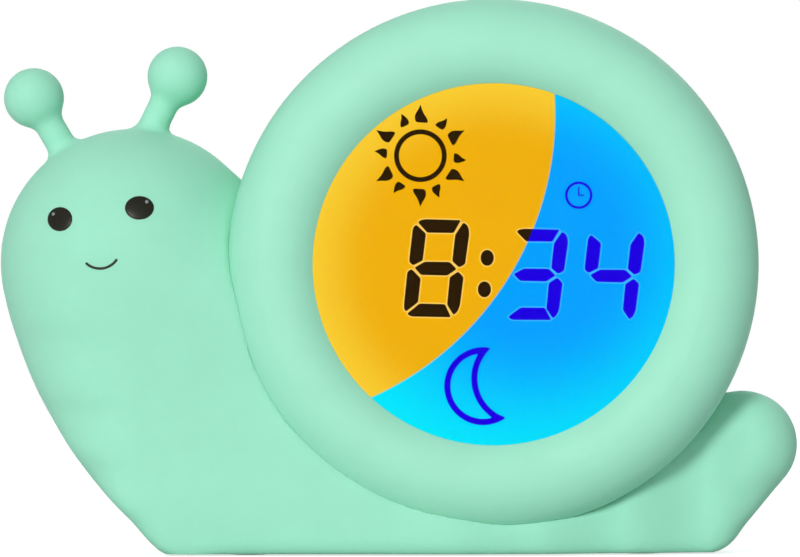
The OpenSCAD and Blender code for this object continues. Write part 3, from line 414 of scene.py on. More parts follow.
class Paint(Enum):
    """The named finishes of the clock, one for each material slot."""

    MINT = Moulded(from_srgb(160, 230, 201), 0.68, 0.015, 0.5, 0.03, soft=0.3, shine=0.3)
    MINT_SHELL = Moulded(from_srgb(160, 230, 201), 0.6, 0.015, 0.5, 0.03, shine=0.35)
    MINT_DARK = Moulded(from_srgb(150, 220, 192), 0.5, 0.03, 0.4, 0.08)
    MINT_BUTTON = Moulded(from_srgb(168, 236, 208), 0.38, 0.02, 0.3, 0.04)
    FACE_PRINT = Moulded(from_srgb(30, 30, 18), 0.42, 0.05, 0.6, 0.02, shine=0.25)
    WHITE = Moulded(from_srgb(236, 236, 232), 0.5, 0.02, 0.4, 0.06)
    RUBBER = Moulded(from_srgb(205, 205, 200), 0.8, 0.05, 0.3, 0.3)
    FOAM = Moulded(from_srgb(28, 28, 30), 0.95, 0.12, 0.25, 0.8)
    BLACK = Moulded(from_srgb(26, 26, 28), 0.42, 0.06, 0.3, 0.1)
    PAPER = Moulded(from_srgb(32, 31, 30), 0.85, 0.15, 0.2, 0.6)
    MAGNET = Moulded(from_srgb(60, 60, 63), 0.5, 0.15, 0.3, 0.3, metallic=0.6)
    CREAM = Moulded(from_srgb(238, 230, 205), 0.45, 0.03, 0.3, 0.1)
    RED = Moulded(from_srgb(196, 38, 30), 0.4, 0.05, 0.3, 0.05)
    RED_WIRE = Moulded(from_srgb(190, 25, 25), 0.5, 0.05, 0.3, 0.1)
    BLACK_WIRE = Moulded(from_srgb(22, 22, 22), 0.5, 0.05, 0.3, 0.1)
    CELL = Moulded(from_srgb(52, 120, 74), 0.3, 0.08, 0.6, 0.05, 0.4)
    BLUE_CAN = Moulded(from_srgb(34, 60, 130), 0.3, 0.08, 0.5, 0.03, 0.3)
    RIBBON = Moulded(from_srgb(188, 190, 194), 0.5, 0.08, 0.3, 0.1)
    STEEL = Metal(from_srgb(190, 192, 196), 0.28)
    SILVER = Metal(from_srgb(205, 205, 208), 0.35)
    CONTACT = Metal(from_srgb(214, 212, 205), 0.25)
    COPPER = Metal(from_srgb(205, 130, 60), 0.4)
    GREEN_BOARD = Board(from_srgb(18, 96, 56), from_srgb(40, 140, 84))
    WHITE_BOARD = Board(from_srgb(232, 232, 228), from_srgb(205, 205, 198))
    LENS = Clear((1, 1, 1), 1.0, 0.0, 1.07, 1.0)
    GLASS = Clear((0, 0, 0), 0.004, 0.02)
    AMBER = Backlight(from_srgb(243, 178, 5), from_srgb(252, 209, 52), DRUM_MIDDLE, 23.9, 38.4)
    BLUE = Backlight(from_srgb(0, 161, 255), from_srgb(0, 234, 254), (25.6, 0, 61.5), 16, 47)
    AMBER_LED = Backlight(from_srgb(255, 190, 40), from_srgb(255, 220, 120), DRUM_MIDDLE, 0, 40)
    BLUE_LED = Backlight(from_srgb(60, 150, 255), from_srgb(150, 210, 255), DRUM_MIDDLE, 0, 40)
    SEGMENT = Segments(from_srgb(42, 26, 6), from_srgb(28, 0, 228), SPLIT_MIDDLE, SPLIT_R)
    SEGMENT_EDGE = Segments(from_srgb(254, 206, 96), from_srgb(60, 186, 255), SPLIT_MIDDLE, SPLIT_R)
    # A fixed pale grey-blue for the two dots on the eyes: painted highlights, not reflections.
    GLINT = Moulded(from_srgb(128, 140, 146), 0.3, 0.03, 0.3, 0.02)
    MARK = Moulded(from_srgb(70, 112, 98), 0.5, 0.06, 0.2, 0.05)

    def material(self) -> bpy.types.Material:
        """Returns the finish's material, made the first time that it is asked for."""
        name = f"{self.name.lower()}_finish"
        return bpy.data.materials.get(name) or self.value.material(name)


SLOT_PAINT: dict[str, Paint] = {
    "mint_silicone": Paint.MINT, "dark_print": Paint.FACE_PRINT, "white_abs": Paint.WHITE,
    "mint_plastic": Paint.MINT_DARK, "pad_rubber": Paint.RUBBER, "screw_steel": Paint.STEEL,
    "mint_shell": Paint.MINT_SHELL, "clear_lens": Paint.LENS, "black_foam": Paint.FOAM,
    "lcd_glass": Paint.GLASS, "dark_segment": Paint.SEGMENT, "amber_light": Paint.AMBER,
    "blue_light": Paint.BLUE, "white_board": Paint.WHITE_BOARD, "amber_led": Paint.AMBER_LED,
    "blue_led": Paint.BLUE_LED, "copper_film": Paint.COPPER, "green_board": Paint.GREEN_BOARD,
    "black_plastic": Paint.BLACK, "blue_can": Paint.BLUE_CAN, "silver_can": Paint.SILVER,
    "cream_nylon": Paint.CREAM, "grey_ribbon": Paint.RIBBON, "speaker_metal": Paint.SILVER,
    "black_paper": Paint.PAPER, "dark_magnet": Paint.MAGNET, "cell_wrap": Paint.CELL,
    "contact_metal": Paint.CONTACT, "red_wire": Paint.RED_WIRE, "black_wire": Paint.BLACK_WIRE,
    "mint_button": Paint.MINT_BUTTON, "red_plunger": Paint.RED,
}


def body_of_node(node: str) -> str:
    """Returns the CAD body that a node rides on."""
    return frame["nodes"][node]["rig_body"]


def new_piece(name: str, mesh: bpy.types.Mesh, paint: Paint, body: str, slot: str,
              stands_for: Sequence[str] = ()) -> Thing:
    """Makes one finished piece of the clock from a mesh that is already in place.

    Args:
        name: The piece's name.
        mesh: Its mesh, in metres in the row frame.
        paint: Its finish.
        body: The CAD body that it rides on.
        slot: The record's material slot; not used.
        stands_for: The CAD nodes that it replaces.

    Returns:
        The piece.
    """
    mesh.name = name
    mesh.materials.clear()
    mesh.materials.append(paint.material())
    piece = bpy.data.objects.new(name, mesh)
    bpy.context.scene.collection.objects.link(piece)
    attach(piece, body)
    if stands_for:
        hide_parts(*stands_for)
    LOG.info("%s: %d faces on %s", name, len(mesh.polygons), body)
    return piece


def mesh_of(points_mm: np.ndarray, faces: Sequence[Sequence[int]],
            smooth_below: float = 35) -> bpy.types.Mesh:
    """Makes a smooth-shaded closed mesh with sharp edges past an angle, its faces pointing outwards.

    Args:
        points_mm: The corners in millimetres.
        faces: The corner numbers of each face.
        smooth_below: The angle in degrees below which an edge is smooth.

    Returns:
        The mesh, in metres.
    """
    mesh = bpy.data.meshes.new("made")
    mesh.from_pydata((np.asarray(points_mm) * MM).tolist(), [], [tuple(map(int, f)) for f in faces])
    mesh.validate()
    shape = bmesh.new()
    shape.from_mesh(mesh)
    bmesh.ops.recalc_face_normals(shape, faces=shape.faces)
    shape.to_mesh(mesh)
    shape.free()
    mesh.shade_smooth()
    mesh.set_sharp_from_angle(angle=math.radians(smooth_below))
    return mesh


def evaluated(obj: Thing) -> bpy.types.Mesh:
    """Returns an object's mesh with its modifiers applied, and removes the object.

    Args:
        obj: The object.

    Returns:
        The mesh.
    """
    graph = bpy.context.evaluated_depsgraph_get()
    mesh = bpy.data.meshes.new_from_object(obj.evaluated_get(graph), depsgraph=graph)
    bpy.data.objects.remove(obj)
    return mesh


def softened_copy(node: str, edge_mm: float, inset_mm: float) -> bpy.types.Mesh:
    """Copies a CAD node's mesh, joins its loose triangles and rounds its sharp edges.

    Args:
        node: The CAD node.
        edge_mm: The width of the rounding.
        inset_mm: How far its faces are drawn in, so that they don't lie in a neighbour's.

    Returns:
        The new mesh, in place.
    """
    copy = bpy.data.objects.new("soften", frame["nodes"][node].data.copy())
    bpy.context.scene.collection.objects.link(copy)
    shape = bmesh.new()
    shape.from_mesh(copy.data)
    bmesh.ops.remove_doubles(shape, verts=shape.verts, dist=SAME_PLACE)
    bmesh.ops.dissolve_limit(shape, angle_limit=FLAT_TURN, verts=shape.verts, edges=shape.edges)
    shape.to_mesh(copy.data)
    shape.free()
    if "custom_normal" in copy.data.attributes:
        copy.data.attributes.remove(copy.data.attributes["custom_normal"])
    copy.data.shade_smooth()
    if edge_mm > 0:
        bevel = copy.modifiers.new("edge", "BEVEL")
        bevel.width = edge_mm * MM
        bevel.segments = 2
        bevel.limit_method = "ANGLE"
        bevel.angle_limit = CREASE
        bevel.miter_outer = "MITER_ARC"
    if inset_mm > 0:
        inset = copy.modifiers.new("inset", "DISPLACE")
        inset.mid_level, inset.strength = 0, -inset_mm * MM
    copy.data.set_sharp_from_angle(angle=ROUNDED_CREASE if edge_mm > 0 else CREASE)
    even = copy.modifiers.new("even", "WEIGHTED_NORMAL")
    even.mode, even.weight, even.keep_sharp = "FACE_AREA_WITH_ANGLE", 50, True
    bpy.context.view_layer.update()
    return evaluated(copy)


def loose(mesh: bpy.types.Mesh) -> Thing:
    """Puts a mesh in the scene as a working object and returns it.

    Args:
        mesh: The mesh, in metres.

    Returns:
        The object.
    """
    thing = bpy.data.objects.new("work", mesh)
    bpy.context.scene.collection.objects.link(thing)
    return thing


def carved(thing: Thing, cutters: Sequence[Thing]) -> bpy.types.Mesh:
    """Cuts shapes out of an object, and removes it and them.

    Args:
        thing: The object.
        cutters: What is cut out of it, in order.

    Returns:
        The mesh that is left.
    """
    for cutter in cutters:
        step = thing.modifiers.new("cut", "BOOLEAN")
        step.operation, step.solver, step.object = "DIFFERENCE", "EXACT", cutter
    bpy.context.view_layer.update()
    mesh = evaluated(thing)
    for cutter in cutters:
        bpy.data.objects.remove(cutter)
    return mesh


def ring_faces(a: int, b: int, count: int) -> list[tuple[int, ...]]:
    """Returns the quads between two closed rings of corners, which start at numbers a and b."""
    return [(a + i, a + (i + 1) % count, b + (i + 1) % count, b + i) for i in range(count)]


def lathe(profile: Sequence[Flat], axis: Flat = (0, 0), around: int = 192) -> Shape:
    """Turns a half section about an axis that runs along Y.

    Args:
        profile: Radius and Y of each point, closed on the axis at both ends, or a loop.
        axis: The axis's place across and up.
        around: The number of steps of the turn.

    Returns:
        The corners and faces.
    """
    turn = np.linspace(0, 2 * np.pi, around, endpoint=False)
    capped = profile[0][0] < 1e-6
    rows = profile[1:-1] if capped else profile
    points = np.array([[(axis[0] + r * np.cos(t), y, axis[1] + r * np.sin(t)) for t in turn]
                       for r, y in rows]).reshape(-1, 3)
    count = len(rows)
    faces = []
    for k in range(count - 1 if capped else count):
        faces += ring_faces(k * around, ((k + 1) % count) * around, around)
    if capped:
        low, high = len(points), len(points) + 1
        points = np.concatenate([points, [(axis[0], end[1], axis[1]) for end in (profile[0], profile[-1])]])
        last = (count - 1) * around
        faces += [(low, (i + 1) % around, i) for i in range(around)]
        faces += [(high, last + i, last + (i + 1) % around) for i in range(around)]
    return points, faces


def merged(shapes: Sequence[Shape]) -> Shape:
    """Returns several shapes' corners and faces as one shape's.

    Args:
        shapes: The shapes.

    Returns:
        The corners and faces.
    """
    points, faces, count = [], [], 0
    for corners, sides in shapes:
        points.append(np.asarray(corners, float))
        faces += [tuple(count + i for i in side) for side in sides]
        count += len(corners)
    return np.concatenate(points), faces


def plate(outline: np.ndarray, low: float, high: float) -> Shape:
    """Returns a flat plate that fills an outline in the front view, between two depths.

    Args:
        outline: Its outline, across and up.
        low: The depth of its front.
        high: The depth of its back.

    Returns:
        The corners and faces.
    """
    count = len(outline)
    points = [(x, y, z) for y in (low, high) for x, z in outline]
    ends = [tuple(range(count)), tuple(range(count, 2 * count))[::-1]]
    return np.array(points), ring_faces(0, count, count) + ends


def band(outer: np.ndarray, inner: np.ndarray, low: float, high: float) -> Shape:
    """Returns the flat band between two outlines with as many points each, between two depths.

    Args:
        outer: The outer outline.
        inner: The inner outline.
        low: The depth of its front.
        high: The depth of its back.

    Returns:
        The corners and faces.
    """
    count = len(outer)
    loops = ((outer, low), (outer, high), (inner, high), (inner, low))
    points = [(x, y, z) for outline, y in loops for x, z in outline]
    faces = []
    for k in range(4):
        faces += ring_faces(k * count, ((k + 1) % 4) * count, count)
    return np.array(points), faces


def bend(start: np.ndarray, corner: np.ndarray, end: np.ndarray, shares: Sequence[float]) -> list[np.ndarray]:
    """Returns points at some shares of the soft bend from a start, round a corner, to an end."""
    return [start * (1 - t) ** 2 + 2 * corner * t * (1 - t) + end * t * t for t in shares]


def rounded(outline: Sequence[Flat], reach: float) -> np.ndarray:
    """Rounds each corner of an outline, starting up to a reach before it.

    Args:
        outline: The outline.
        reach: How far from a corner its rounding starts.

    Returns:
        The new outline.
    """
    points, most = np.asarray(outline, float), 0.45
    made = []
    for back, here, ahead in zip(np.roll(points, 1, 0), points, np.roll(points, -1, 0)):
        start, end = (here + (p - here) * min(most, reach / np.linalg.norm(p - here)) for p in (back, ahead))
        made += bend(start, here, end, (0, 0.33, 0.67, 1))
    return np.array(made)


def box(low: Point, high: Point) -> Shape:
    """Returns the corners and faces of a block.

    Args:
        low: Its lowest corner.
        high: Its highest corner.

    Returns:
        The corners and faces.
    """
    corners = np.array([(x, y, z) for x in (low[0], high[0]) for y in (low[1], high[1])
                        for z in (low[2], high[2])], float)
    return corners, [(0, 1, 3, 2), (4, 6, 7, 5), (0, 4, 5, 1), (2, 3, 7, 6), (0, 2, 6, 4), (1, 5, 7, 3)]


@dataclass
class Drum:
    """The round shell's place and outer form, which the body is seated against."""

    x: float = DRUM_MIDDLE[0]
    z: float = DRUM_MIDDLE[2]
    r: float = 52.4
    half: float = 30.0
    front_roll: float = 10.0
    rear_roll: float = 8.0

    def distance(self, p: np.ndarray) -> np.ndarray:
        """Returns the distance from the drum's outer surface, negative inside it.

        Args:
            p: The points.

        Returns:
            The distance at each point.
        """
        x, y, z = np.moveaxis(p, -1, 0)
        roll = np.where(y < 0, self.front_roll, self.rear_roll)
        out = np.hypot(x - self.x, z - self.z) - self.r + roll
        along = np.abs(y) - self.half + roll
        corner = np.hypot(np.maximum(out, 0), np.maximum(along, 0))
        return corner + np.minimum(np.maximum(out, along), 0) - roll

    def profile(self, grow: float) -> np.ndarray:
        """Returns the drum's half section, radius and Y, drawn out by a gap.

        Args:
            grow: The gap.

        Returns:
            The radius and Y of each point, closed on the axis.
        """
        rows = [(0.0, -self.half - grow)]
        for roll, start, end in ((self.front_roll, -90, 0), (self.rear_roll, 0, 90)):
            middle = (self.r - roll, (roll - self.half) * (1 if start < 0 else -1))
            rows += [(middle[0] + (roll + grow) * math.cos(t), middle[1] + (roll + grow) * math.sin(t))
                     for t in np.radians(np.linspace(start, end, 24))]
        return np.array([*rows, (0.0, self.half + grow)])


def arc(at: Flat, r: float, turn: np.ndarray | float) -> np.ndarray:
    """Returns the points at some turns, in radians, round a middle."""
    return np.stack([at[0] + r * np.cos(turn), at[1] + r * np.sin(turn)], -1)


def circle(at: Flat, r: float, count: int = 240) -> np.ndarray:
    """Returns points round a circle."""
    return arc(at, r, np.linspace(0, 2 * np.pi, count, endpoint=False))


def hull(points: np.ndarray) -> np.ndarray:
    """Returns the corners of the tightest convex outline round some points, anticlockwise.

    Args:
        points: The points, across and up.

    Returns:
        The corners.
    """
    rows = points[np.lexsort((points[:, 1], points[:, 0]))]

    def chain(path: np.ndarray) -> list[np.ndarray]:
        """Returns one half of the outline, without its last point.

        Args:
            path: The points in order of their place.

        Returns:
            The corners of that half.
        """
        kept: list[np.ndarray] = []
        for p in path:
            while len(kept) > 1 and np.cross(kept[-1] - kept[-2], p - kept[-2]) <= 1e-9:
                kept.pop()
            kept.append(p)
        return kept[:-1]

    return np.array(chain(rows) + chain(rows[::-1]))


def outline_distance(outline: np.ndarray, x: np.ndarray, z: np.ndarray) -> np.ndarray:
    """Returns the distance from a convex outline, negative inside it.

    Args:
        outline: Its corners, anticlockwise.
        x: Where to measure, left to right.
        z: Where to measure, bottom to top.

    Returns:
        The distance at each place.
    """
    near = np.full(x.shape, np.inf)
    inside = np.ones(x.shape, bool)
    for a, b in zip(outline, np.roll(outline, -1, 0)):
        edge = b - a
        share = np.clip(((x - a[0]) * edge[0] + (z - a[1]) * edge[1]) / (edge @ edge), 0, 1)
        near = np.minimum(near, np.hypot(x - a[0] - share * edge[0], z - a[1] - share * edge[1]))
        inside &= edge[0] * (z - a[1]) - edge[1] * (x - a[0]) >= 0
    return np.where(inside, -near, near)


def joined(a: np.ndarray, b: np.ndarray, blend: float) -> np.ndarray:
    """Returns the union of two distances with a fillet of about the blend's size."""
    share = np.clip(0.5 + 0.5 * (b - a) / blend, 0, 1)
    return b * (1 - share) + a * share - blend * share * (1 - share)


def smooth_line(x: np.ndarray, xs: Sequence[float], ys: Sequence[float]) -> np.ndarray:
    """Interpolates between points with an eased slope.

    Args:
        x: Where to read the line.
        xs: The places of its points.
        ys: Their values.

    Returns:
        The value at each place.
    """
    index = np.clip(np.searchsorted(xs, x) - 1, 0, len(xs) - 2)
    x0, x1 = np.take(xs, index), np.take(xs, index + 1)
    y0, y1 = np.take(ys, index), np.take(ys, index + 1)
    share = np.clip((x - x0) / (x1 - x0), 0, 1)
    return y0 + (y1 - y0) * share * share * (3 - 2 * share)


def slope_of(field_at: Callable[[np.ndarray], np.ndarray], points: np.ndarray, step: float) -> np.ndarray:
    """Returns a distance field's slope at some points, measured over a small step each way."""
    ways = step * np.eye(3)
    return np.stack([(field_at(points + way) - field_at(points - way)) / (2 * step) for way in ways], -1)


def net_over(field_at: Callable[[np.ndarray], np.ndarray], low: Point, high: Point,
             cell: float) -> tuple[np.ndarray, np.ndarray]:
    """Wraps a closed quad net over the surface where a distance field is zero.

    Args:
        field_at: The distance at an array of points.
        low: The lowest corner of the space to search.
        high: Its highest corner.
        cell: The size of the net's squares.

    Returns:
        The corners and the quads, facing outwards.
    """
    axes = [np.arange(a, b + cell, cell) for a, b in zip(low, high)]
    grid = np.stack(np.meshgrid(*axes, indexing="ij"), -1)
    value = field_at(grid)
    inside = value < 0
    cells = tuple(n - 1 for n in inside.shape)
    corners = [(i, j, k) for i in (0, 1) for j in (0, 1) for k in (0, 1)]

    def shifted(array: np.ndarray, by: tuple[int, int, int]) -> np.ndarray:
        """Returns one corner's value for every cell."""
        return array[tuple(slice(s, s + n) for s, n in zip(by, cells))]

    # Each cell that the surface passes through gets one point, the mean of where it crosses the cell's edges.
    count = sum(shifted(inside, c).astype(np.int8) for c in corners)
    mixed = (count > 0) & (count < 8)
    where = np.argwhere(mixed)
    number = np.full(cells, -1)
    number[mixed] = np.arange(len(where))
    total = np.zeros((len(where), 3))
    hits = np.zeros(len(where))
    for a in corners:
        for axis in range(3):
            if a[axis]:
                continue
            b = tuple(1 if i == axis else v for i, v in enumerate(a))
            va = value[tuple((where + a).T)]
            vb = value[tuple((where + b).T)]
            crossed = (va < 0) != (vb < 0)
            share = np.where(crossed, va / np.where(crossed, va - vb, 1), 0)
            spot = np.array(a, float) + share[:, None] * (np.arange(3) == axis)
            total += np.where(crossed[:, None], spot, 0)
            hits += crossed
    points = np.array(low) + (where + total / hits[:, None]) * cell
    # Each edge of the grid that the surface crosses gets a quad, between the four cells round that edge.
    quads = []
    for axis in range(3):
        one = tuple(1 if i == axis else 0 for i in range(3))
        start = inside[tuple(slice(0, n - o) for n, o in zip(inside.shape, one))]
        end = inside[tuple(slice(o, n) for n, o in zip(inside.shape, one))]
        u, v = [np.array([1 if i == a else 0 for i in range(3)]) for a in ((axis + 1) % 3, (axis + 2) % 3)]
        for flip, found in ((False, start & ~end), (True, ~start & end)):
            edges = np.argwhere(found)
            edges = edges[(edges[:, (axis + 1) % 3] > 0) & (edges[:, (axis + 2) % 3] > 0)]
            ring = [number[tuple((edges - d).T)] for d in (u + v, v, 0 * u, u)]
            quads.append(np.stack(ring[::-1] if flip else ring, -1))
    faces = np.concatenate(quads)
    # A few rounds draw the points from their cells' means onto the surface itself.
    step, rounds, least = 0.02 * cell, 4, 0.05
    for _ in range(rounds):
        here = field_at(points)
        slope = slope_of(field_at, points, step)
        size = np.maximum((slope ** 2).sum(-1), least)
        points = points - np.clip(here / size, -cell / 2, cell / 2)[:, None] * slope
    return points, faces


@dataclass
class SnailBody:
    """The soft body in one moulding: head, two antennae, chest, foot and tail."""

    drum: Drum
    head: Flat = (-52.9, 58.0)
    head_r: float = 26.6
    chest: Flat = (7.16, 71.69)
    chest_r: float = 88.2
    chest_turn: Flat = (192.84, 232.56)
    foot: Point = (-41.6, 8.4, 8.0)
    heel: Point = (60.6, 8.4, 8.0)
    tail: Point = (69.0, 21.8, 10.4)
    saddle: tuple[Point, ...] = ((-22.7, 48.5, 12.0), (0.0, 30.0, 12.0))
    saddle_fillet: float = 4.0
    tail_fillet: float = 1.0
    half_most: float = 26.5
    half_along: tuple = ((-80, -60, 10, 26, 44, 61, 70, 84), (26.5, 26.5, 26.5, 24.6, 20, 15.2, 14.2, 14))
    waist_up: tuple = ((0, 8, 32, 58), (25.7, 26, 25, 26.5))
    waist_fades: Flat = (-34, 40)
    chest_edge_up: tuple = ((0, 8, 18, 30, 44, 58), (3, 4.5, 10, 17, 23, 26.6))
    tail_edge_up: tuple = ((0, 6, 14, 30), (3, 5, 8, 9))
    tail_edge_takes_over: Flat = (-20, 40)
    skin: float = 2.2
    drum_gap: float = 0.03
    bottom: float = 0.4
    cell: float = 1.0
    hollow_cell: float = 2.0
    space: tuple[Point, Point] = ((-81, -28, -1), (81, 28, 103))
    hollow_space: tuple[Point, Point] = ((-79, -26, 1), (79, 26, 86))
    plan_low: Flat = (-84, -6)
    plan_high: Flat = (84, 110)
    plan_step: float = 0.5
    antennae: tuple = (((-62.9, 73.6), (-72.9, 90.8)), ((-53.9, 75.3), (-44.2, 95.1)))
    stalk_r: float = 2.95
    ball_r: float = 6.0
    ball_fillet: float = 1.3
    root_fillet: float = 2.0
    rim_hidden: float = 0.6
    rim_soft: float = 1.8
    rim_crisp: float = 0.8
    rim_soft_from: Flat = (6.0, 20.0)
    opening_mid: float = 8.2
    opening_long: float = 92
    opening_half: float = 19
    opening_tail_half: float = 9.2
    opening_corner: float = 6.0
    opening_cut: Point = (0, -1, 7)
    rim_groove: Point = (2.7, 1.9, 3.8)
    below: Point = (90, 40, 5)
    front_between: Flat = (-30.0, -6.0)
    halvings: int = 26
    slope_step: float = 0.05
    plan: dict[str, np.ndarray] = field(default_factory=dict)

    def __post_init__(self) -> None:
        """Draws the side outline once, on a flat grid."""
        step, ends = self.plan_step, zip(self.plan_low, self.plan_high)
        x, z = np.meshgrid(*(np.arange(low, high + step / 5, step) for low, high in ends), indexing="ij")
        chest = arc(self.chest, self.chest_r, np.radians(np.linspace(*self.chest_turn, 120)))
        foot, heel, tail = (circle(at[:2], at[2]) for at in (self.foot, self.heel, self.tail))
        saddle = np.concatenate([circle(at[:2], at[2]) for at in self.saddle])
        head = circle(self.head, self.head_r)
        forms = ((head, chest, foot, saddle), (foot, saddle, heel), (foot, heel, tail))
        front, middle, back = (outline_distance(hull(np.concatenate(form)), x, z) for form in forms)
        side = joined(joined(front, middle, self.saddle_fillet), back, self.tail_fillet)
        half = smooth_line(x, *self.half_along)
        waist = self.half_most - smooth_line(z, *self.waist_up)
        half = half - smooth_line(x, self.waist_fades, (1, 0)) * waist
        share = smooth_line(x, self.tail_edge_takes_over, (0, 1))
        edge = smooth_line(z, *self.chest_edge_up) * (1 - share) + smooth_line(z, *self.tail_edge_up) * share
        edge = np.minimum(edge, half)
        self.plan = {"side": side, "half": half, "edge": edge}

    def from_plan(self, name: str, x: np.ndarray, z: np.ndarray) -> np.ndarray:
        """Reads one layer of the flat plan, interpolated.

        Args:
            name: The layer.
            x: Where to read it, left to right.
            z: Where to read it, bottom to top.

        Returns:
            The value at each place.
        """
        layer = self.plan[name]
        u, v = (np.clip((at - low) / self.plan_step, 0, count - 1.001)
                for at, low, count in zip((x, z), self.plan_low, layer.shape))
        i, j = u.astype(int), v.astype(int)
        a, b = u - i, v - j
        return ((layer[i, j] * (1 - a) + layer[i + 1, j] * a) * (1 - b)
                + (layer[i, j + 1] * (1 - a) + layer[i + 1, j + 1] * a) * b)

    def trunk(self, p: np.ndarray) -> np.ndarray:
        """Returns the distance from the body without its antennae and without the drum's seat.

        Args:
            p: The points.

        Returns:
            The distance at each point.
        """
        x, y, z = np.moveaxis(p, -1, 0)
        side, half, edge = (self.from_plan(name, x, z) for name in ("side", "half", "edge"))
        across, along = side + edge, np.abs(y) - half + edge
        corner = np.hypot(np.maximum(across, 0), np.maximum(along, 0))
        return np.minimum(np.maximum(across, along), 0) + corner - edge

    def antenna(self, p: np.ndarray, root: Flat, ball: Flat) -> np.ndarray:
        """Returns the distance from one antenna, its stalk eased into its ball.

        Args:
            p: The points.
            root: Where the stalk starts, across and up.
            ball: The middle of its ball.

        Returns:
            The distance at each point.
        """
        start, end = np.array([root[0], 0, root[1]]), np.array([ball[0], 0, ball[1]])
        reach = end - start
        share = np.clip((p - start) @ reach / (reach @ reach), 0, 1)
        stalk = np.linalg.norm(p - start - share[..., None] * reach, axis=-1) - self.stalk_r
        return joined(stalk, np.linalg.norm(p - end, axis=-1) - self.ball_r, self.ball_fillet)

    def outside(self, p: np.ndarray) -> np.ndarray:
        """Returns the distance from the body's outer surface, negative in the rubber.

        Args:
            p: The points.

        Returns:
            The distance at each point.
        """
        form = self.trunk(p)
        for root, ball in self.antennae:
            form = joined(form, self.antenna(p, root, ball), self.root_fillet)
        start, end = self.rim_soft_from
        share = np.clip((np.abs(p[..., 1]) - start) / (end - start), 0, 1)
        soft = self.rim_crisp + (self.rim_soft - self.rim_crisp) * share
        return -joined(-form, self.drum.distance(p) + self.rim_hidden, soft)

    def inside(self, p: np.ndarray) -> np.ndarray:
        """Returns the distance from the hollow inside the skin."""
        return self.trunk(p) + self.skin

    def front_at(self, x: np.ndarray, z: np.ndarray) -> np.ndarray:
        """Returns the points of the body's front surface behind some places of the front view.

        Args:
            x: The places, left to right.
            z: The places, bottom to top.

        Returns:
            The points.
        """
        low, high = (np.full(x.shape, y) for y in self.front_between)
        for _ in range(self.halvings):
            middle = (low + high) / 2
            out = self.outside(np.stack([x, middle, z], -1)) > 0
            low, high = np.where(out, middle, low), np.where(out, high, middle)
        return np.stack([x, low, z], -1)

    def normal_at(self, p: np.ndarray) -> np.ndarray:
        """Returns the outward direction at points of the surface."""
        slope = slope_of(self.outside, p, self.slope_step)
        return slope / np.linalg.norm(slope, axis=-1, keepdims=True)

    def opening(self, grow: float, low: float, high: float) -> Thing:
        """Makes the cutter for the hole in the underside that the base plate closes.

        Args:
            grow: How far its outline is drawn out.
            low: Where it starts.
            high: Where it ends.

        Returns:
            The cutter.
        """
        corner, long = self.opening_corner + grow, self.opening_long / 2 - self.opening_corner
        wide, narrow = self.opening_half - self.opening_corner, self.opening_tail_half - self.opening_corner
        side = 90 - math.degrees(math.atan((wide - narrow) / (2 * long)))
        flat = []
        for x, y, start, end in ((long, narrow, 0, side), (-long, wide, side, 180),
                                 (-long, -wide, 180, 360 - side), (long, -narrow, 360 - side, 360)):
            turn = np.radians(np.linspace(start, end, 10))
            flat += [(self.opening_mid + x + corner * math.cos(t), y + corner * math.sin(t)) for t in turn]
        count = len(flat)
        points = [(*p, low) for p in flat] + [(*p, high) for p in flat]
        ends = [tuple(range(count))[::-1], tuple(range(count, 2 * count))]
        return loose(mesh_of(np.array(points), ring_faces(0, count, count) + ends))

    def build(self) -> Thing:
        """Builds the body and dresses it.

        Returns:
            The piece.
        """
        skin = loose(mesh_of(*net_over(self.outside, *self.space, self.cell), 50))
        hollow = loose(mesh_of(*net_over(self.inside, *self.hollow_space, self.hollow_cell), 50))
        seat = loose(mesh_of(*lathe(self.drum.profile(self.drum_gap), (self.drum.x, self.drum.z), 240)))
        x, y, z = self.below
        under = loose(mesh_of(*box((-x, -y, -z), (x, y, self.bottom))))
        cutters = [seat, hollow, under, self.opening(*self.opening_cut), self.opening(*self.rim_groove)]
        mesh = carved(skin, cutters)
        mesh.shade_smooth()
        mesh.set_sharp_from_angle(angle=CREASE)
        return new_piece("snail_body", mesh, Paint.MINT, "clock", "mint_silicone", ["body_skin"])


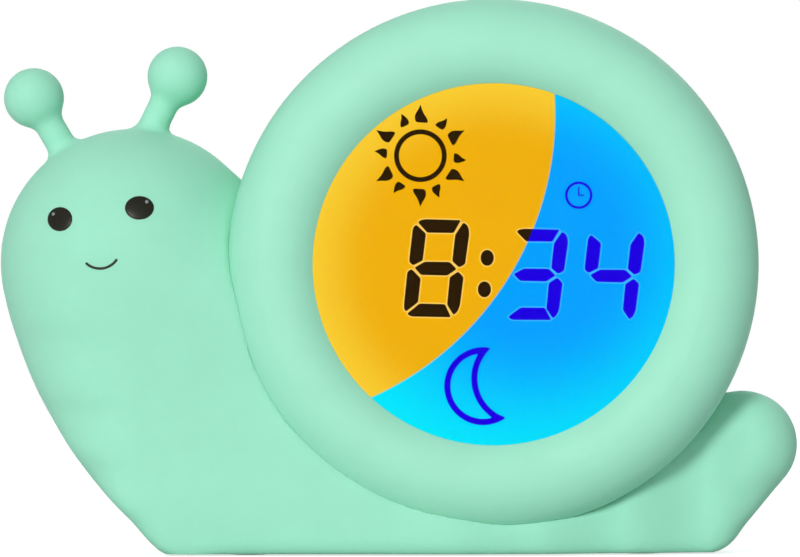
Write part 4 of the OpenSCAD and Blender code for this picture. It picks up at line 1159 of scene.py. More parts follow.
@dataclass
class Face:
    """The eyes and the smile, on the front of the head."""

    body: SnailBody
    left_eye: Oval = (-66.77, 66.4, 2.5, 2.38)
    right_eye: Oval = (-50.97, 68.6, 2.84, 2.32)
    eye_lift: float = 0.04
    dome: float = 0.35
    # The middles of the two pale dots on the eyes, which are painted highlights, then their size, lift and
    # dome.
    glints: tuple = ((-67.93, 67.3), (-49.57, 69.67))
    glint_r: float = 0.34
    glint_up: float = 0.86
    glint_dome: float = 0.08
    smile_at: Flat = (-58.7, 60.69)
    smile_r: float = 4.03
    smile_turn: Flat = (229, 324)
    smile_half: float = 0.25
    smile_lift: float = 0.02
    smile_bulge: float = 0.13
    tip_widths: Point = (0.05, 0.6, 0.9)
    tip_pushes: Point = (1, 0.8, 0.45)

    def patch(self, flat: np.ndarray, lift: np.ndarray) -> np.ndarray:
        """Lays flat points of the front view on the head, lifted off it by an amount each."""
        on_head = self.body.front_at(flat[..., 0], flat[..., 1])
        return on_head + lift[..., None] * self.body.normal_at(on_head)

    def bead(self, at: Oval, base: float, dome: float) -> Shape:
        """Builds one domed bead on the head.

        Args:
            at: Its centre across and up, and its half width and height.
            base: How far its rim is lifted off the head.
            dome: How far its middle rises over its rim.

        Returns:
            Its corners and faces.
        """
        rings, around = 8, 48
        turn = np.linspace(0, 2 * np.pi, around, endpoint=False)
        rows = []
        for share in [*np.sin(np.linspace(0.15, np.pi / 2, rings)), 1.0]:
            flat = np.stack([at[0] + share * at[2] * np.cos(turn), at[1] + share * at[3] * np.sin(turn)], -1)
            rows.append(self.patch(flat, np.full(around, dome * math.sqrt(max(0.0, 1 - share ** 2)) + base)))
        rows[-1] = rows[-1] - self.body.normal_at(rows[-1]) * dome
        top = self.patch(np.array([[at[0], at[1]]]), np.array([dome + base]))
        points = np.concatenate([top, *rows, top - self.body.normal_at(top) * 2 * dome])
        faces: list = []
        last = 1 + (len(rows) - 1) * around
        for i in range(around):
            j = (i + 1) % around
            faces.append((0, 1 + i, 1 + j))
            for k in range(len(rows) - 1):
                a, b = 1 + k * around, 1 + (k + 1) * around
                faces.append((a + i, b + i, b + j, a + j))
            faces.append((last + i, len(points) - 1, last + j))
        return points, faces

    def smile(self) -> Shape:
        """Builds the smile, a round-ended arc that bulges a little.

        Returns:
            Its corners and faces.
        """
        steps, around, tips = 60, 12, len(self.tip_widths)
        turn = np.radians(np.linspace(*self.smile_turn, steps))
        rows = []
        for k, t in enumerate(np.concatenate([[turn[0]] * tips, turn, [turn[-1]] * tips])):
            near = min(k, steps + 2 * tips - 1 - k)
            width = self.smile_half * self.tip_widths[near] if near < tips else self.smile_half
            push = self.smile_half * self.tip_pushes[near] if near < tips else 0.0
            push *= -1 if k < tips else 1
            centre = np.array([self.smile_at[0] + self.smile_r * math.cos(t) - push * math.sin(t),
                               self.smile_at[1] + self.smile_r * math.sin(t) + push * math.cos(t)])
            out = np.array([math.cos(t), math.sin(t)])
            ring = np.linspace(0, 2 * np.pi, around, endpoint=False)
            flat = centre + out * (width * np.cos(ring))[:, None]
            bulge = self.smile_bulge * width / self.smile_half
            rows.append(self.patch(flat, bulge * np.sin(ring) + self.smile_lift))
        starts = range(0, (len(rows) - 1) * around, around)
        sides = [face for a in starts for face in ring_faces(a, a + around, around)]
        last = starts[-1] + around
        return np.concatenate(rows), [*sides, tuple(range(around))[::-1], tuple(range(last, last + around))]

    def build(self) -> list[Thing]:
        """Builds the eyes, the two pale dots on them, which are painted highlights, and the smile.

        Returns:
            The three pieces.
        """
        eyes = merged([self.bead(at, self.eye_lift, self.dome) for at in (self.left_eye, self.right_eye)])
        # The pale dots are painted highlights: a fixed colour where the eyes' glints would be.
        r, base = self.glint_r, self.glint_up * self.dome
        dots = merged([self.bead((*at, r, r), base, self.glint_dome) for at in self.glints])
        return [
            new_piece("eye_pair", mesh_of(*eyes, 60), Paint.FACE_PRINT, "clock", "dark_print", ["eyes"]),
            new_piece("eye_dots", mesh_of(*dots, 60), Paint.GLINT, "clock", "white_abs"),
            new_piece("smile", mesh_of(*self.smile(), 60), Paint.FACE_PRINT, "clock", "dark_print",
                      ["mouth"]),
        ]


class NodeTree(Nodes):
    """A Geometry Nodes tree that is built step by step, with named inputs."""

    def __init__(self, name: str) -> None:
        """Starts an empty tree.

        Args:
            name: The tree's name.
        """
        super().__init__(bpy.data.node_groups.new(name, "GeometryNodeTree"))
        self.start, self.end = self.add("NodeGroupInput"), self.add("NodeGroupOutput")
        self.names: dict[str, str] = {}

    def takes(self, **inputs: str) -> None:
        """Adds named inputs.

        Args:
            **inputs: The kind of each, such as Float or Geometry, by name with _ for a space.
        """
        for key, kind in inputs.items():
            name = key.replace("_", " ")
            made = self.tree.interface.new_socket(name, in_out="INPUT", socket_type=f"NodeSocket{kind}")
            self.names[name] = made.identifier

    def given(self, name: str) -> Socket:
        """Returns a named input's socket."""
        return self.start.outputs[name]

    def drawn_along(self, path: Socket, around: int) -> Socket:
        """Adds the nodes that draw a smooth round wire, of the input Wire Radius, along a path.

        Args:
            path: The path.
            around: The number of the wire's sides.

        Returns:
            The wire.
        """
        wire = self.add("GeometryNodeCurvePrimitiveCircle", Resolution=around,
                        Radius=self.given("Wire Radius"))
        tube = self.add("GeometryNodeCurveToMesh", Curve=path, Profile_Curve=wire.outputs[0], Fill_Caps=True)
        return self.add("GeometryNodeSetShadeSmooth", Geometry=tube.outputs[0]).outputs[0]

    def finish(self, geometry: Socket) -> None:
        """Ends the tree: copies are made real and take the finish.

        Args:
            geometry: What the tree has made.
        """
        self.tree.interface.new_socket("Pieces", in_out="OUTPUT", socket_type="NodeSocketGeometry")
        real = self.add("GeometryNodeRealizeInstances", Geometry=geometry)
        dressed = self.add("GeometryNodeSetMaterial", Geometry=real.outputs[0], Material=self.given("Finish"))
        self.tree.links.new(dressed.outputs[0], self.end.inputs[0])

    def run(self, host: bpy.types.Mesh, values: dict[str, object]) -> bpy.types.Mesh:
        """Runs the tree on a mesh and returns what it makes as a plain mesh.

        Args:
            host: The mesh whose points or edges the tree starts from.
            values: The value of each named input.

        Returns:
            The mesh that the tree makes.
        """
        thing = loose(host)
        step = thing.modifiers.new("nodes", "NODES")
        step.node_group = self.tree
        for name, value in values.items():
            step[self.names[name]] = value
        bpy.context.view_layer.update()
        return evaluated(thing)


def points_mesh(places: Sequence[tuple[Point, Point]]) -> bpy.types.Mesh:
    """Makes a mesh of single points, each with the turn of what stands there.

    Args:
        places: For each point its place in millimetres and its turn about X, Y and Z in degrees.

    Returns:
        The mesh.
    """
    mesh = bpy.data.meshes.new("places")
    mesh.from_pydata([tuple(value * MM for value in at) for at, _ in places], [], [])
    turns = mesh.attributes.new("turn", "FLOAT_VECTOR", "POINT")
    turns.data.foreach_set("vector", [math.radians(value) for _, turn in places for value in turn])
    return mesh


class Repeater(NodeTree):
    """Sets a copy of one shape at each point."""

    def __init__(self) -> None:
        """Builds the tree."""
        super().__init__("repeat_at_points")
        self.takes(Points="Geometry", Shape="Object", Size="Float", Finish="Material")
        shape = self.add("GeometryNodeObjectInfo", {"transform_space": "ORIGINAL"},
                         Object=self.given("Shape"))
        self.finish(self.set_out(shape.outputs["Geometry"], self.given("Size")))

    def set_out(self, shape: Socket, size: Socket | None = None) -> Socket:
        """Adds the nodes that set a shape at each point, turned as the point says.

        Args:
            shape: The shape, as geometry.
            size: The copies' scale.

        Returns:
            The copies.
        """
        turn = self.add("GeometryNodeInputNamedAttribute", {"data_type": "FLOAT_VECTOR"}, Name="turn")
        aim = self.add("FunctionNodeEulerToRotation", Euler=turn.outputs["Attribute"])
        copies = self.add("GeometryNodeInstanceOnPoints", Points=self.given("Points"), Instance=shape,
                          Rotation=aim.outputs[0])
        if size is not None:
            self.tree.links.new(size, copies.inputs["Scale"])
        return copies.outputs[0]

    def at(self, shape: bpy.types.Mesh, places: Sequence[tuple[Point, Point]], paint: Paint,
           size: float = 1.0) -> bpy.types.Mesh:
        """Repeats a shape.

        Args:
            shape: The shape, round its own origin.
            places: Where the copies stand and how they are turned.
            paint: Their finish.
            size: Their scale.

        Returns:
            All the copies as one mesh.
        """
        pattern = loose(shape)
        mesh = self.run(points_mesh(places), {"Shape": pattern, "Size": size, "Finish": paint.material()})
        bpy.data.objects.remove(pattern)
        return mesh


class CoilWinder(Repeater):
    """Winds a conical coil of round wire at each point."""

    def __init__(self) -> None:
        """Builds the tree."""
        NodeTree.__init__(self, "wind_coils")
        self.takes(Points="Geometry", Turns="Float", Start_Radius="Float", End_Radius="Float", Height="Float",
                   Wire_Radius="Float", Finish="Material")
        path = self.add("GeometryNodeCurveSpiral", Resolution=28, Rotations=self.given("Turns"),
                        Start_Radius=self.given("Start Radius"), End_Radius=self.given("End Radius"),
                        Height=self.given("Height"))
        self.finish(self.set_out(self.drawn_along(path.outputs[0], 10)))


class WireLayer(NodeTree):
    """Lays a round wire along each path of edges, with soft bends."""

    def __init__(self) -> None:
        """Builds the tree."""
        super().__init__("lay_wires")
        self.takes(Paths="Geometry", Wire_Radius="Float", Step="Float", Finish="Material")
        path = self.add("GeometryNodeMeshToCurve", Mesh=self.given("Paths"))
        soft = self.add("GeometryNodeCurveSplineType", {"spline_type": "CATMULL_ROM"}, Curve=path.outputs[0])
        even = self.add("GeometryNodeResampleCurve", {"mode": "LENGTH"}, Curve=soft.outputs[0],
                        Length=self.given("Step"))
        self.finish(self.drawn_along(even.outputs[0], 14))

    def along(self, paths: Sequence[Sequence[Point]], r_mm: float, paint: Paint,
              step_mm: float = 0.5) -> bpy.types.Mesh:
        """Lays wires.

        Args:
            paths: The points of each wire in millimetres.
            r_mm: The wires' radius.
            paint: Their finish.
            step_mm: The length of a wire's straight steps.

        Returns:
            All the wires as one mesh.
        """
        mesh = bpy.data.meshes.new("paths")
        points, edges = [], []
        for path in paths:
            edges += [(len(points) + i, len(points) + i + 1) for i in range(len(path) - 1)]
            points += [tuple(float(value) * MM for value in p) for p in path]
        mesh.from_pydata(points, edges, [])
        return self.run(mesh, {"Wire Radius": r_mm * MM, "Step": step_mm * MM, "Finish": paint.material()})


@dataclass
class Display:
    """The marks of the display, in the thin gap of the glass: the time, a sun, a moon and a small clock."""

    drum: Drum
    repeater: Repeater
    front: float = -22.48
    back: float = -22.42
    lean: float = 0.105
    corner: float = 0.32
    edge: float = 0.25
    edge_front: float = -22.45
    digits: tuple = (
        ("abcdefg", (-11.2, -0.8), 1.0), ("abcDg", (8.3, -2.06), 0.935), ("bcfg", (23.37, -2.26), 0.935),
    )
    colon: tuple = ((-1.22, 1.27), (-1.77, -4.94))
    colon_half: Flat = (1.3, 1.57)
    sun_at: Flat = (-14.38, 21.39)
    sun_ring: Flat = (5.19, 4.22)
    ray_pairs: int = 6
    moon_at: Flat = (-2, -24)
    moon_r: float = 7.68
    moon_bite_at: Flat = (4.9, -22.5)
    moon_bite_r: float = 8.04
    moon_line: float = 1.22
    moon_tips: Flat = (0.7, 0.5)
    clock_at: Flat = (16.81, 13.61)
    clock_ring: Flat = (2.7, 2.2)
    clock_hands: tuple = ((-0.14, -0.14, 0.14, 1.65), (-0.14, -0.14, 1.05, 0.14))
    hand_corner: float = 0.06
    flame_corner: float = 0.5
    strokes: dict[str, tuple] = field(default_factory=lambda: {
        "a": ((-4.62, 9.09), (-4.19, 9.5), (-3.19, 9.7), (3.82, 9.5), (2.63, 6.96), (-2.57, 7.02)),
        "b": ((4.34, 9.06), (5.14, 8.55), (5.57, 7.74), (5.74, 6.75), (5.55, 0.81), (4.43, 0.17),
              (2.94, 1.43), (2.97, 6.58)),
        "c": ((4.34, -0.61), (5.51, -1.73), (5.38, -7.33), (5.03, -8.52), (4.33, -9.23), (2.82, -7.16),
              (2.79, -1.73)),
        "D": ((-4.53, -8.82), (-2.24, -6.9), (2.52, -6.93), (4.03, -9.55), (-3.5, -9.52), (-4.15, -9.25)),
        "d": ((-4.87, -8.92), (-2.6, -6.92), (2.4, -7.06), (3.86, -9.64), (-3.82, -9.5), (-4.46, -9.26)),
        "e": ((-4.94, -0.1), (-2.91, -1.97), (-2.93, -6.65), (-5.15, -8.52), (-5.58, -7.94), (-5.68, -6.99),
              (-5.69, -0.71)),
        "f": ((-4.91, 8.62), (-2.79, 6.82), (-2.88, 1.56), (-4.68, 0.58), (-5.49, 1.22), (-5.57, 2.0),
              (-5.51, 7.6), (-5.37, 8.18)),
        "g": ((-4.36, 0.14), (-2.45, 1.32), (2.45, 1.26), (3.98, -0.14), (2.25, -1.43), (-2.95, -1.29)),
    })
    rays: tuple = (
        (90, ((6.6, 0.94), (7.7, 1.15), (8.5, 0.84), (9.4, 0.24), (10.2, 0), (8.95, -0.36), (8.15, -0.75),
              (7.3, -1.36), (6.45, -1.54))),
        (60, ((6.63, 0.6), (7.5, 0.3), (8.25, -0.5), (9.15, -0.83), (8.35, -1.2), (7.33, -1.5),
              (6.5, -1.24))),
    )

    def place(self, outline: Sequence[Flat]) -> np.ndarray:
        """Moves an outline from the display's middle to its place in the frame."""
        return np.asarray(outline, float) + (self.drum.x, self.drum.z)

    def stroke_outlines(self) -> list[np.ndarray]:
        """Returns the outline of every lit stroke of the digits and of the colon's two dots.

        Returns:
            The outlines, round the display's middle.
        """
        outlines = []
        for letters, at, high in self.digits:
            for letter in letters:
                outline = np.array(self.strokes[letter]) * (1, high)
                outline[:, 0] += self.lean * outline[:, 1]
                outlines.append(rounded(outline + at, self.corner))
        outlines += [circle((0, 0), 1, 48) * self.colon_half + at for at in self.colon]
        return outlines

    def crescent(self, inset: float, tip: float) -> np.ndarray:
        """Returns the moon's outline, drawn in by an inset, with its two tips rounded.

        Args:
            inset: How far it is drawn in.
            tip: How far from a tip its rounding starts.

        Returns:
            The outline, round the display's middle.
        """
        big, bite = self.moon_r - inset, self.moon_bite_r + inset
        apart = np.subtract(self.moon_bite_at, self.moon_at)
        gap = float(np.hypot(*apart))
        along = (big ** 2 - bite ** 2 + gap ** 2) / (2 * gap)
        aim = math.atan2(apart[1], apart[0])
        spread = math.acos(along / big)
        inner_spread = math.acos((gap - along) / bite)
        turn = np.linspace(aim + spread + tip / big, aim + 2 * math.pi - spread - tip / big, 70)
        outer = arc(self.moon_at, big, turn)
        half = inner_spread - tip / bite
        inner = arc(self.moon_bite_at, bite, np.linspace(aim + math.pi + half, aim + math.pi - half, 50))
        first, last = (arc(self.moon_at, big, aim + side * spread) for side in (-1, 1))
        shares = (0.2, 0.4, 0.6, 0.8)
        return np.concatenate([outer, bend(outer[-1], first, inner[0], shares),
                               inner, bend(inner[-1], last, outer[0], shares)])

    def ray_pair(self) -> bpy.types.Mesh:
        """Makes one long and one short flame of the sun, round the sun's middle.

        Returns:
            The two flames.
        """
        flames = []
        for turn, outline in self.rays:
            aim = math.radians(turn)
            out = np.array([math.cos(aim), math.sin(aim)])
            flat = [u * out + v * np.array([-out[1], out[0]]) for u, v in outline]
            flames.append(plate(rounded(flat, self.flame_corner), self.front, self.back))
        return mesh_of(*merged(flames))

    def build(self) -> list[Thing]:
        """Builds the digits, their pale edges and the signs.

        Returns:
            The pieces.
        """
        outlines = self.stroke_outlines()
        time = merged([plate(self.place(outline), self.front, self.back) for outline in outlines])
        edges = merged([
            plate(self.place(hull(np.concatenate([circle(p, self.edge, 12) for p in outline]))),
                  self.edge_front, self.back) for outline in outlines
        ])
        across, up = self.place(self.sun_at)
        places = [((across, 0, up), (0, k * 360 / self.ray_pairs, 0)) for k in range(self.ray_pairs)]
        rays = self.repeater.at(self.ray_pair(), places, Paint.SEGMENT)
        rings = [band(*(self.place(circle(at, r, 96)) for r in radii), self.front, self.back)
                 for at, radii in ((self.sun_at, self.sun_ring), (self.clock_at, self.clock_ring))]
        edges_of_moon = (self.place(self.crescent(*at)) for at in zip((0, self.moon_line), self.moon_tips))
        moon = band(*edges_of_moon, self.front, self.back)
        hands = []
        for x0, y0, x1, y1 in self.clock_hands:
            corners = np.array([(x0, y0), (x1, y0), (x1, y1), (x0, y1)]) + self.clock_at
            hands.append(plate(self.place(rounded(corners, self.hand_corner)), self.front, self.back))
        signs = mesh_of(*merged([*rings, moon, *hands]))
        return [
            new_piece("time_strokes", mesh_of(*time), Paint.SEGMENT, "clock", "dark_segment",
                      ["time_segments"]),
            new_piece("time_stroke_edges", mesh_of(*edges), Paint.SEGMENT_EDGE, "clock", "amber_light"),
            new_piece("sun_moon_clock", signs, Paint.SEGMENT, "clock", "dark_segment", ["icon_segments"]),
            new_piece("sun_flames", rays, Paint.SEGMENT, "clock", "dark_segment"),
        ]


@dataclass
class Fasteners:
    """The screws, with rounded heads, cross recesses and ridged shanks."""

    drum: Drum
    repeater: Repeater
    housing_ring: float = 41.2
    housing_angles: tuple = (20, 160, 250, 290)
    housing_y: float = 3.8
    housing_screw: Oval = (2.3, 1.8, 1.2, 15)
    base_side: float = 9.5
    base_z: float = 0.6
    base_screw: Oval = (2.3, 1.8, 1.2, 8.7)
    door_drop: float = 37.4
    door_y: float = 29.9
    door_screw: Oval = (2.5, 0.9, 1.25, 3.5)
    ridge_pitch: float = 0.9
    ridge: Point = (0.35, 0.45, 0.7)
    neck: float = 0.2
    unridged: float = 1.2
    tip: float = 0.8
    tip_share: float = 0.3
    core_share: float = 0.8
    cross: Point = (0.62, 0.14, 0.42)

    def screw(self, head_r: float, head_t: float, shank_r: float, long: float) -> bpy.types.Mesh:
        """Makes a screw that points along +Y, with the top of its head at the origin.

        Args:
            head_r: The head's radius.
            head_t: The head's height.
            shank_r: The shank's radius.
            long: The shank's length.

        Returns:
            The screw.
        """
        core = self.core_share * shank_r
        rows = [(0, 0), (0.45 * head_r, 0.02), (0.75 * head_r, 0.09 * head_r), (0.93 * head_r, 0.22 * head_r),
                (head_r, 0.4 * head_r), (head_r, head_t - 0.1), (head_r - 0.1, head_t), (core, head_t)]
        for k in range(int((long - self.unridged) / self.ridge_pitch)):
            low = head_t + self.neck + self.ridge_pitch * k
            crest, fall, foot = (low + up for up in self.ridge)
            rows += [(core, low), (shank_r, crest), (shank_r, fall), (core, foot)]
        end = head_t + long
        rows += [(core, end - self.tip), (self.tip_share * shank_r, end), (0, end)]
        half, narrow, deep = (share * head_r for share in self.cross)
        arms = ((half, narrow), (narrow, half))
        cutters = [loose(mesh_of(*box((-a, -1, -b), (a, deep, b)))) for a, b in arms]
        return carved(loose(mesh_of(*lathe(rows, (0, 0), 40))), cutters)

    def build(self) -> list[Thing]:
        """Builds the housing's, the base's and the door's screws.

        Returns:
            The pieces.
        """
        x, z, out = self.drum.x, self.drum.z, self.housing_ring
        ring = [((x + out * math.cos(math.radians(a)), self.housing_y, z + out * math.sin(math.radians(a))),
                 (180, 0, 0)) for a in self.housing_angles]
        base = [((x, y, self.base_z), (90, 0, 0)) for y in (-self.base_side, self.base_side)]
        door = [((x, self.door_y, z - self.door_drop), (180, 0, 0))]
        sets = (
            ("housing_screw_set", self.housing_screw, ring, "clock", "housing_screws"),
            ("base_screw_set", self.base_screw, base, "clock", "base_screws"),
            ("door_screw_captive", self.door_screw, door, "door", "door_screw"),
        )
        pieces = []
        for name, sizes, places, body, node in sets:
            mesh = self.repeater.at(self.screw(*sizes), places, Paint.STEEL)
            pieces.append(new_piece(name, mesh, Paint.STEEL, body, "screw_steel", [node]))
        return pieces


@dataclass
class PowerPack:
    """The three cells with their springs and leads, which show when the battery door is open."""

    repeater: Repeater
    coils: CoilWinder
    wires: WireLayer
    middle_x: float = DRUM_MIDDLE[0]
    y: float = 22.2
    rows_z: tuple = (51.89, 41.0, 30.11)
    sides: tuple = (1, -1, 1)
    cell_r: float = 5.2
    cell_start: float = 19.8
    sleeve: float = 43.5
    long: float = 44.5
    nub_r: float = 1.9
    spring_start: float = 24.4
    spring_r: Flat = (3.4, 2.2)
    spring_long: float = 4.3
    spring_turns: float = 3
    wire_r: float = 0.3
    lead_r: float = 0.55
    lead_start: Point = (40.7, 14.58, 55.5)
    lead_end: Point = (32.7, 5.22, 45.5)
    lead_apart: Flat = (1.0, 1.2)

    def ends(self, out: float) -> list[tuple[Point, Point]]:
        """Returns the place and turn, for a shape that points along +Y, at every cell's flat end."""
        return [((self.middle_x - side * out, self.y, z), (0, 0, -90 * side))
                for z, side in zip(self.rows_z, self.sides)]

    def build(self) -> list[Thing]:
        """Builds the sleeves, the bare ends, the springs and the leads.

        Returns:
            The pieces.
        """
        r, top, nub = self.cell_r, self.sleeve, self.nub_r
        sleeve = [(0, 0.2), (r - 0.9, 0.2), (r - 0.9, 0.05), (r - 0.3, 0), (r, 0.3), (r, top - 0.6),
                  (r - 0.25, top - 0.1), (r - 0.9, top), (r - 1.5, top), (r - 1.6, top - 0.25),
                  (0, top - 0.25)]
        ends = [
            [(0, 0.01), (r - 1.2, 0.01), (r - 1.0, 0.15), (r - 1.0, 0.3), (0, 0.3)],
            [(0, top - 0.35), (r - 1.9, top - 0.35), (r - 2.1, top - 0.1), (nub + 0.1, top - 0.1),
             (nub, top + 0.1), (nub, self.long - 0.3), (nub - 0.3, self.long), (0, self.long)],
        ]
        places = self.ends(self.cell_start)
        sleeves = self.repeater.at(mesh_of(*lathe(sleeve, (0, 0), 64)), places, Paint.CELL)
        bare = mesh_of(*merged([lathe(rows, (0, 0), 48) for rows in ends]))
        caps = self.repeater.at(bare, places, Paint.CONTACT)
        turned = [(at, (0, 90 * side, 0)) for (at, _), side in zip(self.ends(self.spring_start), self.sides)]
        wide, narrow = self.spring_r
        springs = self.coils.run(points_mesh(turned), {
            "Turns": self.spring_turns, "Start Radius": wide * MM, "End Radius": narrow * MM,
            "Height": self.spring_long * MM, "Wire Radius": self.wire_r * MM,
            "Finish": Paint.CONTACT.material(),
        })
        paths = []
        for side in (-1, 1):
            start, end = (np.add(at, (out * side, 0, 0)) for at, out in
                          zip((self.lead_start, self.lead_end), self.lead_apart))
            paths.append([start, start + (-2, -2.5, -2), end + (0, 3.5, 3), end])
        leads = self.wires.along(paths, self.lead_r, Paint.RED_WIRE)
        return [
            new_piece("cell_sleeves", sleeves, Paint.CELL, "clock", "cell_wrap", ["battery_cells"]),
            new_piece("cell_ends", caps, Paint.CONTACT, "clock", "contact_metal"),
            new_piece("coil_springs", springs, Paint.CONTACT, "clock", "contact_metal", ["battery_springs"]),
            new_piece("tray_leads", leads, Paint.RED_WIRE, "clock", "red_wire", ["battery_leads"]),
        ]


@dataclass
class RearControls:
    """The button caps, the small signs under them, the door's grip ribs and the foot pads."""

    drum: Drum
    repeater: Repeater
    keys: tuple = ("set", "up", "down", "alarm", "light")
    pitch: float = 14.0
    row: float = 13.0
    cap_r: float = 3.8
    cap_top: float = 31.5
    cap_roll: float = 0.8
    flange_r: float = 4.9
    flange_y: Flat = (27.9, 26.9)
    stem_r: float = 2.05
    stem_end: float = 24.5
    sign_drop: float = 6.1
    sign_half: float = 1.15
    panel: float = 30.0
    proud: float = 0.12
    sunk: float = 0.1
    ribs: int = 5
    rib_step: float = 1.6
    rib_low: float = -31.0
    rib_half: Flat = (6.5, 0.4)
    rib_layers: tuple[Oval, Oval] = ((-0.05, 0.12, 1.0, 1.0), (0.1, 0.24, 0.97, 0.6))
    pads: tuple = ((-29.6, -11.8), (-29.6, 11.8), (48.0, -4.7), (48.0, 4.7))
    pad_r: float = 4.2
    pad_t: float = 1.2

    def key_x(self, k: int) -> float:
        """Returns the place of the key numbered k, right of the drum's middle."""
        return (k - (len(self.keys) - 1) / 2) * self.pitch

    def cap(self, x: float) -> bpy.types.Mesh:
        """Makes one button cap: a dished top with a rolled edge, a flange and a stem.

        Args:
            x: Its place, right of the drum's middle.

        Returns:
            The cap.
        """
        top, r, roll, (shelf, under) = self.cap_top, self.cap_r, self.cap_roll, self.flange_y
        edge = arc((r - roll, top - roll), roll, np.radians(np.linspace(90, 0, 8)))
        rows = [(0, top - 0.32), (0.35 * r, top - 0.28), (0.6 * r, top - 0.14), (r - 1.05, top - 0.02), *edge,
                (r, shelf), (self.flange_r, shelf), (self.flange_r, under), (self.stem_r, under),
                (self.stem_r, self.stem_end + 0.2), (self.stem_r - 0.2, self.stem_end), (0, self.stem_end)]
        return mesh_of(*lathe(rows, (self.drum.x + x, self.drum.z + self.row), 72), 40)

    def sign(self, key: str) -> list[np.ndarray | tuple[np.ndarray, np.ndarray]]:
        """Returns the outlines of one button's sign, as plates or as bands with an inner outline.

        Args:
            key: The button's name.

        Returns:
            The outlines, round the sign's middle.
        """
        s = self.sign_half
        if key == "set":
            hands = [(-0.1, -0.1), (0.62, -0.1), (0.62, 0.1), (0.1, 0.1), (0.1, 0.8), (-0.1, 0.8)]
            return [(circle((0, 0), s, 40), circle((0, 0), s - 0.25, 40)), rounded(hands, 0.05)]
        if key in ("up", "down"):
            flip = 1 if key == "up" else -1
            return [rounded([(-s, -0.8 * s * flip), (s, -0.8 * s * flip), (0, s * flip)], 0.25)]
        if key == "alarm":
            side = [(-s, -0.55), (-0.75, -0.2), (-0.65, 0.5), (-0.25, 1.0)]
            bell = side + [(-x, z) for x, z in side[::-1]]
            return [rounded(bell, 0.2), circle((0, -0.88), 0.24, 16)]
        beams = []
        for k in range(8):
            out = np.array([math.cos(k * math.pi / 4), math.sin(k * math.pi / 4)])
            side = 0.1 * np.array([-out[1], out[0]])
            beams.append(np.array([0.72 * out - side, 1.2 * out - side, 1.2 * out + side, 0.72 * out + side]))
        return [circle((0, 0), 0.5, 24), *beams]

    def signs(self) -> bpy.types.Mesh:
        """Makes the raised signs, one under each button, the right way round from behind.

        Returns:
            The signs.
        """
        shapes = []
        for k, key in enumerate(self.keys):
            middle = np.array([self.drum.x + self.key_x(k), self.drum.z + self.row - self.sign_drop])
            low, high = self.panel - self.sunk, self.panel + self.proud
            for part in self.sign(key):
                if isinstance(part, tuple):
                    shapes.append(band(*(middle + outline * (-1, 1) for outline in part), low, high))
                else:
                    shapes.append(plate(middle + part * (-1, 1), low, high))
        return mesh_of(*merged(shapes))

    def build(self) -> list[Thing]:
        """Builds the caps, the signs, the ribs and the pads.

        Returns:
            The pieces.
        """
        pieces = [
            new_piece(f"{key}_cap", self.cap(self.key_x(k)), Paint.MINT_BUTTON, f"{key}_key",
                      "mint_button", [f"{key}_button"]) for k, key in enumerate(self.keys)
        ]
        pieces.append(new_piece("button_signs", self.signs(), Paint.MARK, "clock", "dark_print"))
        wide, high = self.rib_half
        ends = np.concatenate([circle((side * (wide - high), 0), high, 16) for side in (-1, 1)])
        bar = merged([plate(hull(ends) * shrunk, low, top) for low, top, *shrunk in self.rib_layers])
        places = [((self.drum.x, self.panel, self.drum.z + self.rib_low + k * self.rib_step), (0, 0, 0))
                  for k in range(self.ribs)]
        ribs = self.repeater.at(mesh_of(*bar), places, Paint.MINT_DARK)
        pieces.append(new_piece("door_grip_ribs", ribs, Paint.MINT_DARK, "door", "mint_plastic"))
        r, t = self.pad_r, self.pad_t
        rows = [(0, 0.12), (0.3 * r, 0.1), (0.55 * r, 0.02), (0.6 * r, 0.2), (0.68 * r, 0.2), (0.73 * r, 0),
                (r - 0.35, 0), (r - 0.1, 0.1), (r, 0.35), (r, t), (0, t)]
        places = [((x, y, 0), (90, 0, 0)) for x, y in self.pads]
        pads = self.repeater.at(mesh_of(*lathe(rows, (0, 0), 64), 40), places, Paint.RUBBER)
        pieces.append(new_piece("foot_pads", pads, Paint.RUBBER, "clock", "pad_rubber", ["rubber_feet"]))
        return pieces


@dataclass
class CarriedParts:
    """The parts whose solids already have their true shape: edges softened where they show."""

    softened: dict[str, tuple[str, float, float]] = field(default_factory=lambda: {
        "shell_front_ring": ("front_ring", 0.0, 0), "shell_rear_cover": ("rear_cover", 0.2, 0),
        "battery_door": ("door_panel", 0.3, 0), "display_lens": ("lens_disc", 0.15, 0),
        "lcd_front_glass": ("front_pane", 0.1, 0.03), "lcd_rear_glass": ("rear_pane", 0.1, 0.03),
        "slide_knob": ("switch_knob", 0.2, 0), "base_plate": ("base_panel", 0.25, 0),
        "battery_tray": ("cell_tray", 0.15, 0),
    })

    def build(self) -> list[Thing]:
        """Softens the named nodes and dresses all the others as they are.

        Returns:
            The new pieces.
        """
        pieces = []
        for node, (name, edge, inset) in self.softened.items():
            slot, mesh = SLOT_OF[node], softened_copy(node, edge, inset)
            pieces.append(new_piece(name, mesh, SLOT_PAINT[slot], body_of_node(node), slot, [node]))
        for node, thing in frame["nodes"].items():
            if not thing.hide_render:
                thing.data.materials.clear()
                thing.data.materials.append(SLOT_PAINT[SLOT_OF[node]].material())
        return pieces


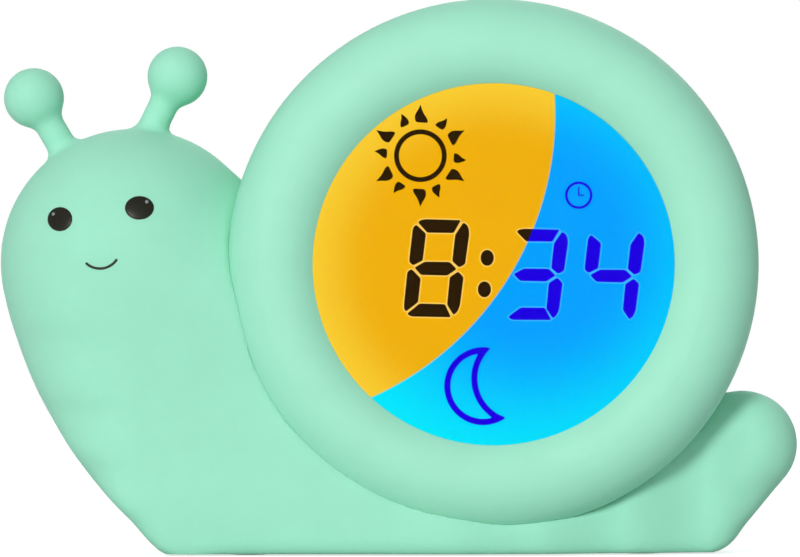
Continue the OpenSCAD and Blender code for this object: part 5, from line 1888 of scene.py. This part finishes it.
@dataclass
class Studio:
    """The pale floor, the soft lamps and the camera."""

    camera_at: Point = (0.3, -1500.0, 54.7)
    view_width: float = 160.0
    floor_half: float = 1.5
    floor_greys: Flat = (0.64, 0.66)
    floor_glow: float = 0.75
    sky_level: float = 0.39
    sky_colour: Colour = (0.97, 0.985, 1)
    clip: Flat = (0.05, 20)
    lamps: tuple = (
        ("key", (0.38, 1.0, -0.33), 1.98, 14), ("fill", (0.0, 1.0, -0.1), 0.2, 60),
        ("back", (-0.25, -1.0, -0.55), 0.7, 40),
    )

    def floor(self) -> None:
        """Lays the floor."""
        half = self.floor_half
        mesh = bpy.data.meshes.new("floor")
        mesh.from_pydata([(-half, -half, 0), (half, -half, 0), (half, half, 0), (-half, half, 0)], [],
                         [(0, 1, 2, 3)])
        shader = Shader("studio_floor")
        mottle = shader.mix(shader.noise(60.0), *((grey, grey, grey) for grey in self.floor_greys))
        plain = shader.add("ShaderNodeBsdfDiffuse", Color=mottle)
        glow = shader.add("ShaderNodeEmission", Color=(1, 1, 1), Strength=self.floor_glow)
        both = shader.add("ShaderNodeAddShader", _0=plain.outputs[0], _1=glow.outputs[0])
        path = shader.add("ShaderNodeLightPath").outputs
        through = shader.math("MAXIMUM", path["Is Glossy Ray"], path["Is Transmission Ray"])
        seen = shader.math("MAXIMUM", path["Is Camera Ray"], through)
        pick = shader.add("ShaderNodeMixShader", _0=seen, _1=plain.outputs[0], _2=both.outputs[0])
        shader.tree.links.new(pick.outputs[0], shader.output.inputs["Surface"])
        mesh.materials.append(shader.material)
        floor = bpy.data.objects.new("floor", mesh)
        bpy.context.scene.collection.objects.link(floor)

    def sky(self) -> None:
        """Sets the even light all round, and the white that the camera sees behind."""
        world = bpy.data.worlds.new("studio")
        bpy.context.scene.world = world
        world.use_nodes = True
        nodes = Nodes(world.node_tree)
        path = nodes.add("ShaderNodeLightPath").outputs
        seen = nodes.add("ShaderNodeMath", {"operation": "MAXIMUM"}, _0=path["Is Camera Ray"],
                         _1=path["Is Transmission Ray"])
        lit = nodes.add("ShaderNodeBackground", Color=self.sky_colour, Strength=self.sky_level)
        white = nodes.add("ShaderNodeBackground", Color=(1, 1, 1), Strength=1.0)
        pick = nodes.add("ShaderNodeMixShader", _0=seen.outputs[0], _1=lit.outputs[0], _2=white.outputs[0])
        nodes.add("ShaderNodeOutputWorld", Surface=pick.outputs[0])

    def lamp(self, name: str, towards: Point, strength: float, width: float) -> None:
        """Adds one wide, distant lamp.

        Args:
            name: Its name.
            towards: The direction that its light travels in.
            strength: Its strength.
            width: Its apparent width in degrees.
        """
        light = bpy.data.lights.new(name, "SUN")
        light.energy = strength
        light.angle = math.radians(width)
        thing = bpy.data.objects.new(name, light)
        thing.rotation_euler = Vector(towards).to_track_quat("-Z", "Y").to_euler()
        bpy.context.scene.collection.objects.link(thing)

    def camera(self) -> None:
        """Sets up the camera."""
        lens = bpy.data.cameras.new("camera")
        lens.lens = lens.sensor_width * -self.camera_at[1] / self.view_width
        lens.clip_start, lens.clip_end = self.clip
        thing = bpy.data.objects.new("camera", lens)
        thing.location = [value * MM for value in self.camera_at]
        thing.rotation_euler = (math.pi / 2, 0, 0)
        bpy.context.scene.collection.objects.link(thing)
        bpy.context.scene.camera = thing

    def build(self) -> None:
        """Builds the whole studio."""
        self.floor()
        self.sky()
        for lamp in self.lamps:
            self.lamp(*lamp)
        self.camera()
        bpy.context.scene.view_settings.view_transform = "Standard"


def main() -> None:
    """Builds the clock's pieces and the studio, in order."""
    logging.basicConfig(level=logging.INFO, format="%(message)s")
    drum, repeater = Drum(), Repeater()
    body = SnailBody(drum)
    body.build()
    Face(body).build()
    Display(drum, repeater).build()
    Fasteners(drum, repeater).build()
    PowerPack(repeater, CoilWinder(), WireLayer()).build()
    RearControls(drum, repeater).build()
    CarriedParts().build()
    Studio().build()


if __name__ == "__main__":
    main()
